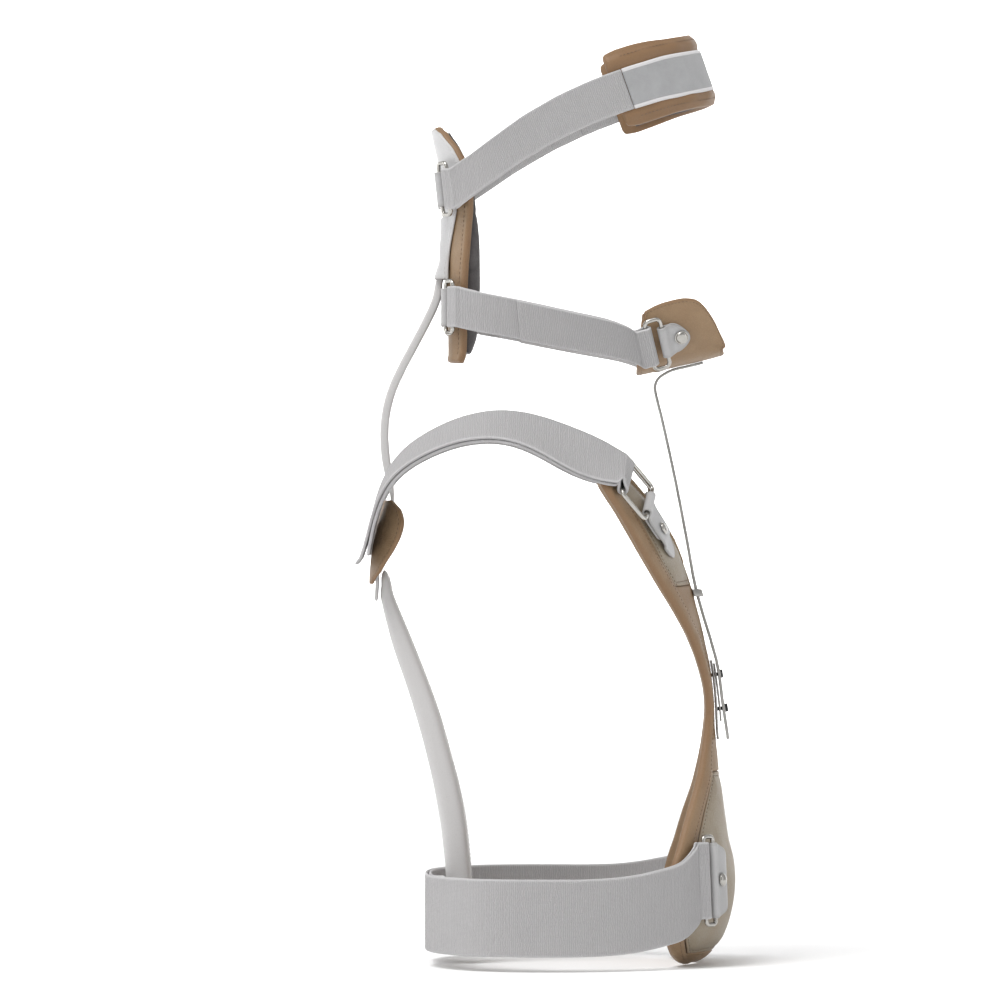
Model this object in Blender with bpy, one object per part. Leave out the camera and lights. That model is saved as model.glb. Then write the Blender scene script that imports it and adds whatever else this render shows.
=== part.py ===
"""Spinal brace from forehead to waist: head band, occipital and chin supports, front plate,
back bar and straps. Metres, +Z up, the wearer faces +X. The origin is on the inner face of the
front plate, at its narrow waist."""

import math

import bmesh
import bpy
from mathutils import Vector

# Clearances
SEAT_GAP = 0.0005
WIRE_GAP = 0.0003

# Front plate, above and below its narrow waist
CHEST_HEIGHT = 0.157
CHEST_SETBACK = 0.079
CHEST_HALF_WIDTH = 0.094
BELLY_DROP = 0.176
BELLY_FORWARD = 0.014
BELLY_WRAP = 0.0445
BELLY_HALF_WIDTH = 0.079
PLATE_THICKNESS = 0.0055
RECESS_DEPTH = 0.0018
INSET_THICKNESS = 0.0012
RIM_WIDTH = 0.013
INNER_RIM_WIDTH = 0.007
STEP_WIDTH = 0.001

# Webbing
WEB_THICKNESS = 0.0022
HEAD_WEB_WIDTH = 0.028
SHOULDER_WEB_WIDTH = 0.040
WAIST_WEB_WIDTH = 0.0525
FOLD_BLEND = 0.012

# Rings, tabs and rivets
WIRE_RADIUS = 0.0015
RING_SLACK = 0.0045
TAB_THICKNESS = 0.0016
RIVET_HEIGHT = 0.0020
CHIN_RIVET_RADIUS = 0.0048
CHEST_RIVET_RADIUS = 0.0044
WAIST_RIVET_RADIUS = 0.0046
CHEST_RING_LENGTH = 0.024
WAIST_RING_LENGTH = 0.0095
CHIN_RING_LENGTH = 0.0105
HEAD_RING_LENGTH = 0.0105
CHEST_TAB_LENGTH = 0.044
WAIST_TAB_LENGTH = 0.022
CHIN_TAB_LENGTH = 0.0185
HEAD_TAB_LENGTH = 0.012
NAPE_TAB_LENGTH = 0.013

TAB_FIRST_SEAT = 0.0045
TAB_RETURN_SEAT = 0.0066
TAB_STEP = 0.0040
TAB_REST = 0.0004
WAIST_TAB_DOUBLE = 0.0170
CHEST_TAB_DOUBLE = 0.0260
WAIST_RIVET_INSET = 0.0118
CHEST_RIVET_INSET = 0.0200
CHIN_RIVET_INSET = 0.0120
WAIST_RING_CORNER = 0.0025
CHEST_RING_CORNER = 0.0040
CHIN_RING_CORNER = 0.0035
HEAD_RING_CORNER = 0.0030
CHEST_TAB_WIDTH = 0.026
CHIN_TAB_WIDTH = 0.022
HEAD_TAB_WIDTH = 0.024
NAPE_TAB_WIDTH = 0.026
WAIST_TAB_WIDTH = 0.0515

# Pace of the tracks, and of the sections along straps and bands
TRACK_STEP = 0.001
PROBE = 0.0005
WAIST_PACE = 0.0145
SHOULDER_PACE = 0.0125
CHIN_PACE = 0.0100
BAND_PACE = 0.0090

# Occipital plate
HEAD_RING_OUT = 0.0315
NAPE_RING_OUT = 0.0300
OCCIPUT_BACK = 0.178
OCCIPUT_BASE = 0.2324
OCCIPUT_HEIGHT = 0.162
OCCIPUT_FLARE = 0.0097
OCCIPUT_HALF_WIDTH = 0.042
OCCIPUT_RADIUS = 0.060
OCCIPUT_THICKNESS = 0.0042
PAD_THICKNESS = 0.0085
COVER_THICKNESS = 0.0014
COVER_SLACK = 0.0012

# Chin support
CHIN_BACK = 0.0483
CHIN_LENGTH = 0.0600
CHIN_BASE = 0.2262
CHIN_RISE = 0.0145
CHIN_WING_HEIGHT = 0.0425
CHIN_HALF_WIDTH = 0.044
CHIN_THICKNESS = 0.0026

# Chin bar and its fixing
BAR_WIDTH = 0.016
BAR_THICKNESS = 0.0020
BAR_HEEL_BACK = 0.0350
BAR_HEEL_DROP = 0.0165
BAR_BOW = 0.0012
BAR_FOOT_FORWARD = 0.0152
BAR_FOOT_DROP = 0.0269
BRACKET_WIDTH = 0.018
BRACKET_THICKNESS = 0.0015
CLAMP_THICKNESS = 0.0012
CLAMP_TOP = 0.0255
UPPER_BOLT_UP = 0.0179
LOWER_BOLT_DOWN = 0.0055
BOLT_RADIUS = 0.0013
BOLT_HOLE_RADIUS = 0.0017
BOLT_HEAD_RADIUS = 0.0029
BOLT_HEAD_HEIGHT = 0.0036
GUIDE_HEIGHT = 0.074
GUIDE_WIDTH = 0.005
GUIDE_THICKNESS = 0.0012

# Back plate, neck bar and back bar
BACK_DEPTH = 0.2324
BACK_PLATE_BASE = 0.080
BACK_PLATE_HEIGHT = 0.058
BACK_PLATE_LEAN = 0.0104
BACK_PLATE_HALF_WIDTH = 0.036
BACK_PLATE_RADIUS = 0.046
BACK_PLATE_THICKNESS = 0.0026
BACK_RIVET_RADIUS = 0.0050
NECK_BAR_WIDTH = 0.021
NECK_BAR_THICKNESS = 0.0060
NECK_BAR_BARE = 0.0026
NECK_BAR_BOW = 0.0141
NECK_BAR_TIP = 0.012
NECK_BAR_LEAVE = 0.0080
NECK_BAR_ENTRY = 0.0145
NECK_HOLE_RADIUS = 0.0022
BACK_BAR_WIDTH = 0.034
BACK_BAR_THICKNESS = 0.018
BACK_BAR_DROP = 0.168
BACK_BAR_LAP = 0.0097
BACK_BAR_FORWARD = 0.0543

# Waist strap
BELT_HALF_WIDTH = 0.127
BELT_DROP = 0.1447
BELT_RISE = 0.013
SEAT_THICKNESS = 0.0085
SEAT_WIDTH = 0.030
SEAT_HEIGHT = 0.046

WAIST_TAIL_GAP = 0.020

# Shoulder straps
TAIL_LENGTH = 0.007
TAIL_LIFT = 0.0015
SHOULDER_OUT = 0.087
SHOULDER_UP = 0.1870

# Head band
HEAD_TILT = math.radians(20)
BAND_FRONT = 0.0007
BAND_UP = 0.434
HEAD_HALF_WIDTH = 0.0755
FOREHEAD_PAD_THICKNESS = 0.0075
FOREHEAD_PAD_HEIGHT = 0.050
FOREHEAD_LINING_THICKNESS = 0.0014
PAD_LIFT = 0.0015
BAND_SEAM_BACK = 0.058
PAD_END_BACK = 0.069

# Front plate above the waist. Columns: centre height, centre back, inner edge out,
# outer edge height, outer edge back, outer edge out; shares of the chest sizes
CHEST_ROWS = (
    (0.000, 0.000, 0.000, 0.000, 0.023, 0.191),
    (0.134, 0.030, 0.000, 0.127, 0.070, 0.266),
    (0.268, 0.086, 0.000, 0.261, 0.165, 0.394),
    (0.395, 0.146, 0.000, 0.382, 0.291, 0.543),
    (0.510, 0.209, 0.000, 0.503, 0.437, 0.660),
    (0.586, 0.259, 0.000, 0.586, 0.532, 0.745),
    (0.662, 0.316, 0.160, 0.662, 0.620, 0.819),
    (0.745, 0.405, 0.277, 0.745, 0.715, 0.883),
    (0.828, 0.506, 0.372, 0.822, 0.804, 0.931),
    (0.904, 0.627, 0.457, 0.885, 0.886, 0.968),
    (0.968, 0.741, 0.532, 0.930, 0.940, 0.958),
    (1.000, 0.810, 0.617, 0.962, 0.955, 0.860),
)
CROTCH_ROW = 5

# Front plate below the waist. Columns: drop, centre forward, edge wrap, edge out; shares
BELLY_ROWS = (
    (0.114, 0.057, 0.085, 0.253),
    (0.216, 0.179, 0.191, 0.354),
    (0.324, 0.321, 0.326, 0.519),
    (0.443, 0.500, 0.530, 0.696),
    (0.551, 0.714, 0.719, 0.835),
    (0.642, 0.964, 0.910, 0.937),
    (0.739, 1.000, 1.000, 1.000),
    (0.824, 0.821, 0.978, 1.000),
    (0.892, 0.536, 0.876, 0.924),
    (0.943, 0.179, 0.708, 0.785),
    (0.977, -0.214, 0.506, 0.595),
    (1.000, -0.679, 0.213, 0.329),
)

# Occipital plate from its base. Columns: height, flare, half width; shares
OCCIPUT_ROWS = (
    (0.000, 0.000, 0.700),
    (0.040, 0.000, 0.790),
    (0.110, 0.000, 0.810),
    (0.235, 0.000, 0.810),
    (0.390, 0.000, 0.845),
    (0.530, 0.000, 0.905),
    (0.680, 0.070, 0.975),
    (0.805, 0.330, 1.000),
    (0.905, 0.720, 0.860),
    (0.970, 0.950, 0.620),
    (1.000, 1.000, 0.340),
)

# Pad on its inner face: height along the plate, thickness share
PAD_ROWS = ((0.040, 0.45), (0.110, 0.85), (0.235, 1.00), (0.390, 1.00), (0.530, 0.85),
            (0.680, 0.40), (0.805, 0.22), (0.905, 0.20), (0.970, 0.20))

# White cover: height along the plate, half width share of the plate's half width
COVER_ROWS = ((0.355, 0.340), (0.430, 0.345), (0.480, 0.400), (0.550, 0.540), (0.620, 0.660),
              (0.680, 0.740), (0.805, 0.930), (0.905, 0.840), (0.970, 0.600), (0.992, 0.340))

# Chin support from back to front. Columns: length, base rise, wing height, half width
CHIN_ROWS = (
    (0.000, 0.000, 0.960, 1.000),
    (0.140, 0.120, 1.020, 0.985),
    (0.300, 0.270, 1.040, 0.950),
    (0.500, 0.470, 1.020, 0.890),
    (0.680, 0.640, 0.910, 0.820),
    (0.840, 0.800, 0.610, 0.745),
    (0.945, 0.920, 0.280, 0.680),
    (1.000, 1.000, 0.060, 0.620),
)

# Back plate from its base. Columns: height, lean, half width; shares
BACK_PLATE_ROWS = (
    (0.000, 0.000, 0.240),
    (0.143, 0.040, 0.640),
    (0.417, 0.200, 0.930),
    (0.702, 0.530, 1.000),
    (0.890, 0.840, 0.860),
    (1.000, 1.000, 0.560),
)

# Neck bar between the two plates: way along, bow share
NECK_BOW_ROWS = ((0.116, 0.18), (0.251, 0.49), (0.376, 0.785), (0.503, 0.995), (0.633, 1.0),
                 (0.763, 0.79), (0.887, 0.43))

# Back bar from its top. Columns: way down, forward, half thickness, half width; shares
BACK_BAR_ROWS = (
    (0.000, 0.000, 0.240, 0.560),
    (0.040, 0.010, 0.400, 0.680),
    (0.080, 0.040, 0.540, 0.760),
    (0.187, 0.221, 0.780, 0.880),
    (0.299, 0.418, 0.870, 0.940),
    (0.390, 0.562, 0.930, 1.000),
    (0.484, 0.687, 0.955, 1.000),
    (0.580, 0.800, 0.980, 1.000),
    (0.671, 0.880, 1.000, 1.000),
    (0.762, 0.930, 1.000, 1.000),
    (0.860, 0.965, 1.000, 1.000),
    (0.970, 0.992, 1.000, 1.000),
    (1.000, 1.000, 0.860, 0.900),
)

# Waist strap from ring to back. Columns: way back, out share, rise share
BELT_ROWS = ((0.000, 0.500, 1.00), (0.055, 0.602, 0.85), (0.140, 0.722, 0.50), (0.268, 0.866, 0.12),
             (0.415, 0.960, 0.00), (0.581, 1.000, 0.00), (0.746, 0.960, 0.00), (0.875, 0.810, 0.00),
             (0.965, 0.560, 0.00), (0.995, 0.300, 0.00), (1.000, 0.150, 0.00))

# Shoulder strap from the back plate to the chest ring. Columns: back share of the back depth,
# out share, up share, then the direction of its width from the neck side to the arm side
SHOULDER_ROWS = (
    (1.0190, 0.264, 0.4910, (0.00, 1.00, 0.00)),
    (1.0100, 0.276, 0.5580, (0.00, 1.00, 0.00)),
    (0.9910, 0.322, 0.6530, (0.00, 1.00, -0.03)),
    (0.9690, 0.391, 0.7380, (0.02, 0.99, -0.09)),
    (0.9355, 0.494, 0.8140, (0.05, 0.98, -0.16)),
    (0.8850, 0.621, 0.8800, (0.08, 0.96, -0.25)),
    (0.8140, 0.759, 0.9350, (0.06, 0.94, -0.33)),
    (0.7230, 0.885, 0.9820, (0.00, 0.91, -0.41)),
    (0.6320, 0.966, 1.0000, (0.00, 0.88, -0.47)),
    (0.5680, 0.989, 0.9960, (0.02, 0.85, -0.53)),
    (0.4850, 0.989, 0.9630, (0.02, 0.76, -0.65)),
    (0.4070, 0.966, 0.9190, (-0.03, 0.68, -0.73)),
    (0.3330, 0.938, 0.8840, (-0.08, 0.71, -0.70)),
    (0.2655, 0.908, 0.8540, (-0.03, 0.83, -0.56)),
)

# Strap bar of the chest ring. Columns: back share of the back depth, out share, up share
SHOULDER_RING = (0.2423, 0.8574, 0.8231)

# Head band from its front to the ring. Columns: way back, out share, drop below the tilted
# plane as a share of the head's half width
BAND_ROWS = ((0.000, 0.000, 0.000), (0.026, 0.291, 0.000), (0.084, 0.556, 0.000),
             (0.181, 0.768, 0.000), (0.312, 0.927, 0.000), (0.450, 1.000, -0.010),
             (0.605, 0.993, -0.012), (0.740, 0.914, -0.006), (0.860, 0.781, 0.000),
             (0.950, 0.620, 0.004))

# Chin strap from nape to chin: way along, out beyond the straight line
CHIN_STRAP_OUT = 0.018
CHIN_STRAP_ROWS = ((0.10, 0.50), (0.22, 0.78), (0.38, 0.97), (0.55, 1.00), (0.72, 0.84),
                   (0.88, 0.45))


def clear_scene():
    """Remove what the start-up file holds."""
    for item in list(bpy.data.objects):
        bpy.data.objects.remove(item, do_unlink=True)


def finish(name, colour, roughness, metallic=0.0):
    """A named Principled material, made once."""
    made = bpy.data.materials.get(name)
    if made:
        return made
    made = bpy.data.materials.new(name)
    made.use_nodes = True
    shader = made.node_tree.nodes["Principled BSDF"]
    shader.inputs["Base Color"].default_value = (*colour, 1.0)
    shader.inputs["Roughness"].default_value = roughness
    shader.inputs["Metallic"].default_value = metallic
    made.diffuse_color = (*colour, 1.0)
    return made


def tan_leather():
    return finish("tan_leather", (0.36, 0.23, 0.13), 0.55)


def panel_leather():
    return finish("panel_leather", (0.27, 0.24, 0.19), 0.6)


def white_leather():
    return finish("white_leather", (0.72, 0.72, 0.73), 0.5)


def dark_lining():
    return finish("dark_lining", (0.06, 0.06, 0.065), 0.85)


def white_elastic():
    return finish("white_elastic", (0.62, 0.62, 0.62), 0.9)


def grey_loop():
    return finish("grey_loop", (0.36, 0.36, 0.37), 0.95)


def nickel():
    return finish("nickel", (0.62, 0.61, 0.58), 0.2, 1.0)


def bar_steel():
    return finish("bar_steel", (0.42, 0.40, 0.38), 0.35, 1.0)


def black_steel():
    return finish("black_steel", (0.02, 0.02, 0.02), 0.4, 0.6)


def value_at(rows, place):
    """Smooth values of a table at a fractional row number."""
    last = len(rows) - 1
    place = min(max(place, 0.0), float(last))
    low = min(int(place), last - 1)
    part = place - low
    here, there = rows[low], rows[low + 1]
    before = rows[low - 1] if low > 0 else [2 * a - b for a, b in zip(here, there)]
    after = rows[low + 2] if low + 2 <= last else [2 * b - a for a, b in zip(here, there)]
    values = []
    for p, a, b, q in zip(before, here, there, after):
        slope_a, slope_b = (b - p) / 2, (q - a) / 2
        values.append((2 * part**3 - 3 * part**2 + 1) * a + (part**3 - 2 * part**2 + part) * slope_a
                      + (3 * part**2 - 2 * part**3) * b + (part**3 - part**2) * slope_b)
    return values


def row_place(rows, key):
    """Fractional row number at which the first column, which rises, reaches a value."""
    for low in range(len(rows) - 1):
        first, second = rows[low][0], rows[low + 1][0]
        if key <= second:
            return low + (key - first) / (second - first)
    return float(len(rows) - 1)


def build(name, points, faces, material, side=1, smooth=True):
    """One closed object from points given as x, distance from the middle, z."""
    mesh = bpy.data.meshes.new(name)
    mesh.from_pydata([(p[0], side * p[1], p[2]) for p in points], [], faces)
    work = bmesh.new()
    work.from_mesh(mesh)
    bmesh.ops.recalc_face_normals(work, faces=work.faces)
    work.to_mesh(mesh)
    work.free()
    mesh.materials.append(material)
    if smooth:
        mesh.shade_smooth()
        mesh.set_sharp_from_angle(angle=math.radians(40))
    made = bpy.data.objects.new(name, mesh)
    bpy.context.collection.objects.link(made)
    return made


def both_sides(maker):
    """Make a piece on the right of the wearer and its mirror copy on the left."""
    return [maker("right", -1), maker("left", 1)]


def split(corners, other_way):
    """Two triangles for a four-cornered field."""
    a, b, c, d = corners
    return [(a, b, d), (b, c, d)] if other_way else [(a, b, c), (a, c, d)]


def shell(name, outer, inner, material, side=1, middle=0):
    """A sheet with a wall, from two grids of points with the same rows and columns.
    Its fields are split in mirror fashion about the middle column."""
    rows, columns = len(outer), len(outer[0])
    points = [p for row in outer for p in row] + [p for row in inner for p in row]
    under = rows * columns
    faces = []
    for r in range(rows - 1):
        for c in range(columns - 1):
            a = r * columns + c
            field = (a, a + 1, a + columns + 1, a + columns)
            faces += split(field, c < middle)
            faces += split([under + corner for corner in field], c < middle)
    for r in range(rows - 1):
        for c in (0, columns - 1):
            a, d = r * columns + c, (r + 1) * columns + c
            faces.append((a, d, under + d, under + a))
    for c in range(columns - 1):
        for r in (0, rows - 1):
            a = r * columns + c
            faces.append((a, a + 1, under + a + 1, under + a))
    return build(name, points, faces, material, side)


def loft(name, sections, material, side=1):
    """A closed body through rings of points that all have the same count."""
    count = len(sections[0])
    points = [p for ring in sections for p in ring]
    faces = []
    for s in range(len(sections) - 1):
        for k in range(count):
            a, b = s * count + k, s * count + (k + 1) % count
            faces.append((a, b, b + count, a + count))
    faces.append(tuple(range(count)))
    faces.append(tuple(range(len(points) - count, len(points))))
    return build(name, points, faces, material, side)


def unit(vector):
    return vector.normalized()


def headings(points):
    """Direction of travel at each point of a path."""
    result = []
    for i in range(len(points)):
        ahead = points[min(i + 1, len(points) - 1)]
        behind = points[max(i - 1, 0)]
        result.append(unit(ahead - behind))
    return result


def ribbon(name, points, widths, thickness, material, side=1, rounding=0.0):
    """A flat band along a path; widths are vectors from its middle to its edge."""
    sections = []
    ways = headings(points)
    for point, wide, way in zip(points, widths, ways):
        rise = unit(way.cross(wide)) * thickness / 2
        if rounding:
            flat, low = wide * (1 - rounding), rise * 0.45
            sections.append([point - flat - rise, point - wide - low, point - wide + low,
                             point - flat + rise, point + flat + rise, point + wide + low,
                             point + wide - low, point + flat - rise])
        else:
            sections.append([point - wide - rise, point - wide + rise,
                             point + wide + rise, point + wide - rise])
    return loft(name, sections, material, side)


def rounded_bar(name, points, halves, across, material, side=1, sides=10, power=0.55):
    """A bar with a soft section; halves are (half thickness, half width) at each point."""
    sections = []
    for point, way, (thick, wide) in zip(points, headings(points), halves):
        rise = unit(way.cross(across))
        ring = []
        for k in range(sides):
            angle = 2 * math.pi * (k + 0.5) / sides
            c, s = math.cos(angle), math.sin(angle)
            ring.append(point + across * wide * math.copysign(abs(c) ** power, c)
                        + rise * thick * math.copysign(abs(s) ** power, s))
        sections.append(ring)
    return loft(name, sections, material, side)


def dome(name, base, normal, radius, height, material, side=1, sides=10):
    """A low rivet head on a flat base."""
    along = unit(normal.orthogonal())
    across = normal.cross(along)
    sections = []
    for wide, up in ((1.0, 0.0), (1.0, 0.35), (0.82, 0.75), (0.45, 1.0)):
        sections.append([base + normal * height * up
                         + (along * math.cos(2 * math.pi * k / sides)
                            + across * math.sin(2 * math.pi * k / sides)) * radius * wide
                         for k in range(sides)])
    return loft(name, sections, material, side)


def wire_ring(name, centre, along, across, length, width, corner, side=1):
    """A bent wire ring; length and width are between the middles of its bars."""
    normal = along.cross(across)
    path = []
    for turn, (sx, sy) in enumerate(((1, 1), (-1, 1), (-1, -1), (1, -1))):
        middle = Vector((sx * (length / 2 - corner), sy * (width / 2 - corner)))
        for step in range(3):
            angle = math.pi / 2 * (turn + step / 2)
            path.append(middle + Vector((math.cos(angle), math.sin(angle))) * corner)
    count = len(path)
    points, faces, sides = [], [], 6
    for i, spot in enumerate(path):
        way = (path[(i + 1) % count] - path[i - 1]).normalized()
        outward = along * way.y - across * way.x
        middle = centre + along * spot.x + across * spot.y
        for k in range(sides):
            angle = 2 * math.pi * k / sides
            points.append(middle + (outward * math.cos(angle) + normal * math.sin(angle)) * WIRE_RADIUS)
    for i in range(count):
        for k in range(sides):
            a, b = i * sides + k, i * sides + (k + 1) % sides
            c, d = ((i + 1) % count) * sides + (k + 1) % sides, ((i + 1) % count) * sides + k
            faces.append((a, b, c, d))
    return build(name, points, faces, nickel(), side)


# Surfaces give a point as x, distance from the middle, z


def plate_rows():
    """Rows of the front plate in metres, from its lowest to its highest."""
    rows = []
    for drop, forward, wrap, out in reversed(BELLY_ROWS):
        z, x = -drop * BELLY_DROP, forward * BELLY_FORWARD
        rows.append((z, x, 0.0, z, x - wrap * BELLY_WRAP, out * BELLY_HALF_WIDTH, 1.0))
    for i, (up, back, inner, edge_up, edge_back, out) in enumerate(CHEST_ROWS):
        bend = 1.0 - 0.7 * max(0, i - CROTCH_ROW) / (len(CHEST_ROWS) - 1 - CROTCH_ROW)
        rows.append((up * CHEST_HEIGHT, -back * CHEST_SETBACK, inner * CHEST_HALF_WIDTH,
                     edge_up * CHEST_HEIGHT, -edge_back * CHEST_SETBACK,
                     out * CHEST_HALF_WIDTH, bend))
    return rows


PLATE_ROWS = plate_rows()
WAIST = len(BELLY_ROWS)
CROTCH = WAIST + CROTCH_ROW


def plate_point(row, across):
    """Inner face of the front plate; across is 0 at its inner edge and 1 at its outer edge."""
    z, x, inner, edge_z, edge_x, out, bend = value_at(PLATE_ROWS, row)
    if row <= CROTCH:
        inner = 0.0
    share = (1 - bend) * across + bend * across * abs(across)
    return Vector((x + (edge_x - x) * share, inner + (out - inner) * across,
                   z + (edge_z - z) * across))


def occiput_point(height, out):
    """Outer face of the occipital plate at a share of its height and a distance out."""
    _, flare, _ = value_at(OCCIPUT_ROWS, row_place(OCCIPUT_ROWS, height))
    sag = OCCIPUT_RADIUS - math.sqrt(OCCIPUT_RADIUS**2 - out**2)
    return Vector((-OCCIPUT_BACK - flare * OCCIPUT_FLARE + sag, out,
                   OCCIPUT_BASE + height * OCCIPUT_HEIGHT))


def occiput_half_width(height):
    return value_at(OCCIPUT_ROWS, row_place(OCCIPUT_ROWS, height))[2] * OCCIPUT_HALF_WIDTH


def back_plate_point(height, out):
    """Outer face of the back plate."""
    _, lean, _ = value_at(BACK_PLATE_ROWS, row_place(BACK_PLATE_ROWS, height))
    sag = BACK_PLATE_RADIUS - math.sqrt(BACK_PLATE_RADIUS**2 - out**2)
    return Vector((-BACK_DEPTH + lean * BACK_PLATE_LEAN + sag, out,
                   BACK_PLATE_BASE + height * BACK_PLATE_HEIGHT))


def chin_point(row, around):
    """Inner face of the chin support; around runs from 0 below the chin to 1 at a wing's top."""
    along, rise, wing, half = value_at(CHIN_ROWS, row)
    angle = around * math.pi / 2
    wide = abs(math.sin(angle)) ** 0.62
    low = abs(math.cos(angle)) ** 0.62
    height = wing * CHIN_WING_HEIGHT
    lift = height * (1 - low)
    lean = 0.005 * (lift / CHIN_WING_HEIGHT) * (1 - along)
    return Vector((-CHIN_BACK + along * CHIN_LENGTH + lean, half * CHIN_HALF_WIDTH * wide,
                   CHIN_BASE + rise * CHIN_RISE + lift))


def face_normal(surface, a, b, facing):
    """Unit normal of a surface on the side that facing points to."""
    small = PROBE
    along = surface(a + small, b) - surface(a - small, b)
    across = surface(a, b + small) - surface(a, b - small)
    normal = unit(along.cross(across))
    return normal if normal.dot(facing) > 0 else -normal


class Track:
    """A path over a surface at an even pace, carrying the surface's normal."""

    def __init__(self, surface, start, heading, length, facing, lift):
        self.step = TRACK_STEP
        a, b = start
        self.points, self.normals = [], []
        for _ in range(int(length / self.step) + 2):
            normal = face_normal(surface, a, b, facing)
            self.points.append(surface(a, b) + normal * lift)
            self.normals.append(normal)
            small = PROBE
            pace = (surface(a + heading[0] * small, b + heading[1] * small)
                    - surface(a, b)).length / small
            a += heading[0] * self.step / pace
            b += heading[1] * self.step / pace

    def at(self, distance):
        place = distance / self.step
        low = min(max(int(math.floor(place)), 0), len(self.points) - 2)
        part = place - low
        point = self.points[low].lerp(self.points[low + 1], part)
        normal = unit(self.normals[low].lerp(self.normals[low + 1], min(max(part, 0), 1)))
        return point, normal


class Fixing:
    """A ring with the tab that holds it, laid along a track; the strap's bar is at its start."""

    def __init__(self, track, length, web, tab_web, across_hint=None):
        self.track = track
        self.length = length
        self.lift = TAB_THICKNESS + 2 * SEAT_GAP + WEB_THICKNESS - TAB_THICKNESS + WIRE_RADIUS
        first, first_normal = track.at(0)
        second, second_normal = track.at(length)
        self.strap_bar = first + first_normal * self.lift
        self.tab_bar = second + second_normal * self.lift
        self.along = unit(self.strap_bar - self.tab_bar)
        normal = unit(first_normal + second_normal)
        self.across = unit(normal.cross(self.along))
        if across_hint is not None and self.across.dot(across_hint) < 0:
            self.across = -self.across
        self.normal = unit(self.along.cross(self.across))
        if self.normal.dot(normal) < 0:
            self.normal = -self.normal
        self.tab_normal = unit(second_normal - self.along * second_normal.dot(self.along))
        self.width = web + RING_SLACK + 2 * WIRE_RADIUS
        self.tab_web = tab_web

    def ring(self, name, corner, side):
        centre = (self.strap_bar + self.tab_bar) / 2
        length = (self.strap_bar - self.tab_bar).length
        return wire_ring(name, centre, self.along, self.across, length, self.width, corner, side)

    def tab(self, name, reach, under, shape, side):
        """The folded tab: under the bar, round it and out along the surface to its end.
        under is how far its two layers lie together; shape holds the half width at shares
        of its reach."""
        low = TAB_THICKNESS / 2
        high = low + TAB_THICKNESS + WIRE_GAP
        turn = WIRE_RADIUS + WIRE_GAP + low
        way = [(under, low), (under * 0.5, low), (TAB_FIRST_SEAT, low)]
        way += [None] * 7
        way += [(TAB_RETURN_SEAT, high)]
        if under > TAB_RETURN_SEAT * 1.5:
            way.append((under, high))
        if reach > under:
            settle = under + TAB_STEP
            way.append((settle, low + TAB_REST))
            way += [(settle + (reach - settle) * k / 3, low) for k in (1, 2, 3)]
        points, widths = [], []
        for number, stop in enumerate(way):
            if stop is None:
                angle = math.radians(-90 + 35 * (number - 3))
                points.append(self.tab_bar + self.along * turn * math.cos(angle)
                              + self.tab_normal * turn * math.sin(angle))
                distance = 0.0
            else:
                distance = stop[0]
                point, normal = self.track.at(self.length + distance)
                points.append(point + normal * stop[1])
            share = min(max(distance / reach, 0.0), 1.0) * (len(shape) - 1)
            spot = min(int(share), len(shape) - 2)
            half = shape[spot] + (shape[spot + 1] - shape[spot]) * (share - spot)
            widths.append(self.across * half * self.tab_web / 2)
        return ribbon(name, points, widths, TAB_THICKNESS, white_leather(), side)

    def rivet(self, name, distance, radius, side):
        point, facing = self.track.at(self.length + distance)
        reach = radius * 0.8
        way = self.track.at(self.length + distance + reach)[0]
        way = way - self.track.at(self.length + distance - reach)[0]
        normal = unit(self.across.cross(way))
        normal = normal if normal.dot(facing) > 0 else -normal
        level = 2 * TAB_THICKNESS + WIRE_GAP + SEAT_GAP
        return dome(name, point + normal * level, normal, radius, RIVET_HEIGHT, nickel(), side)


# Straps


class Route:
    """The middle of a strap: points with the direction of its width."""

    def __init__(self, points, widths, facing):
        self.points = points
        self.widths = [unit(w) for w in widths]
        self.reach = [0.0]
        for a, b in zip(points, points[1:]):
            self.reach.append(self.reach[-1] + (b - a).length)
        self.length = self.reach[-1]
        ways = headings(points)
        self.normals = [unit(way.cross(w)) for way, w in zip(ways, self.widths)]
        if self.normals[0].dot(facing) < 0:
            self.normals = [-n for n in self.normals]
        self.ways = ways

    def at(self, distance):
        """Point, normal and width direction at a distance, straight on past either end."""
        if distance <= 0:
            return self.points[0] + self.ways[0] * distance, self.normals[0], self.widths[0]
        if distance >= self.length:
            beyond = self.ways[-1] * (distance - self.length)
            return self.points[-1] + beyond, self.normals[-1], self.widths[-1]
        for i in range(len(self.points) - 1):
            if distance <= self.reach[i + 1]:
                part = (distance - self.reach[i]) / (self.reach[i + 1] - self.reach[i])
                return (self.points[i].lerp(self.points[i + 1], part),
                        unit(self.normals[i].lerp(self.normals[i + 1], part)),
                        unit(self.widths[i].lerp(self.widths[i + 1], part)))


LAYER = (WEB_THICKNESS + SEAT_GAP) / 2
TURN = WIRE_RADIUS + WIRE_GAP + WEB_THICKNESS / 2


def spread(distance):
    """Half the distance between two layers, near the bar that they fold round."""
    close = max(0.0, 1.0 - distance / FOLD_BLEND)
    return LAYER + (TURN - LAYER) * close**1.5


def fold(length, sign, start=False):
    """Points of a strap's turn round a bar, from one layer to the other."""
    way = []
    for step in range(6):
        angle = -math.pi / 2 + math.pi * step / 5
        beyond = TURN * math.cos(angle)
        way.append((-beyond if start else length + beyond, sign * TURN * math.sin(angle)))
    return way


def run(start, end, pace):
    """Evenly spaced distances from start to end, both included."""
    count = max(1, round(abs(end - start) / pace))
    return [start + (end - start) * k / count for k in range(count + 1)]


def strap(name, route, way, width, side=1):
    points, widths = [], []
    for distance, offset in way:
        point, normal, wide = route.at(distance)
        points.append(point + normal * offset)
        widths.append(wide * width / 2)
    return ribbon(name, points, widths, WEB_THICKNESS, white_elastic(), side)


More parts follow.
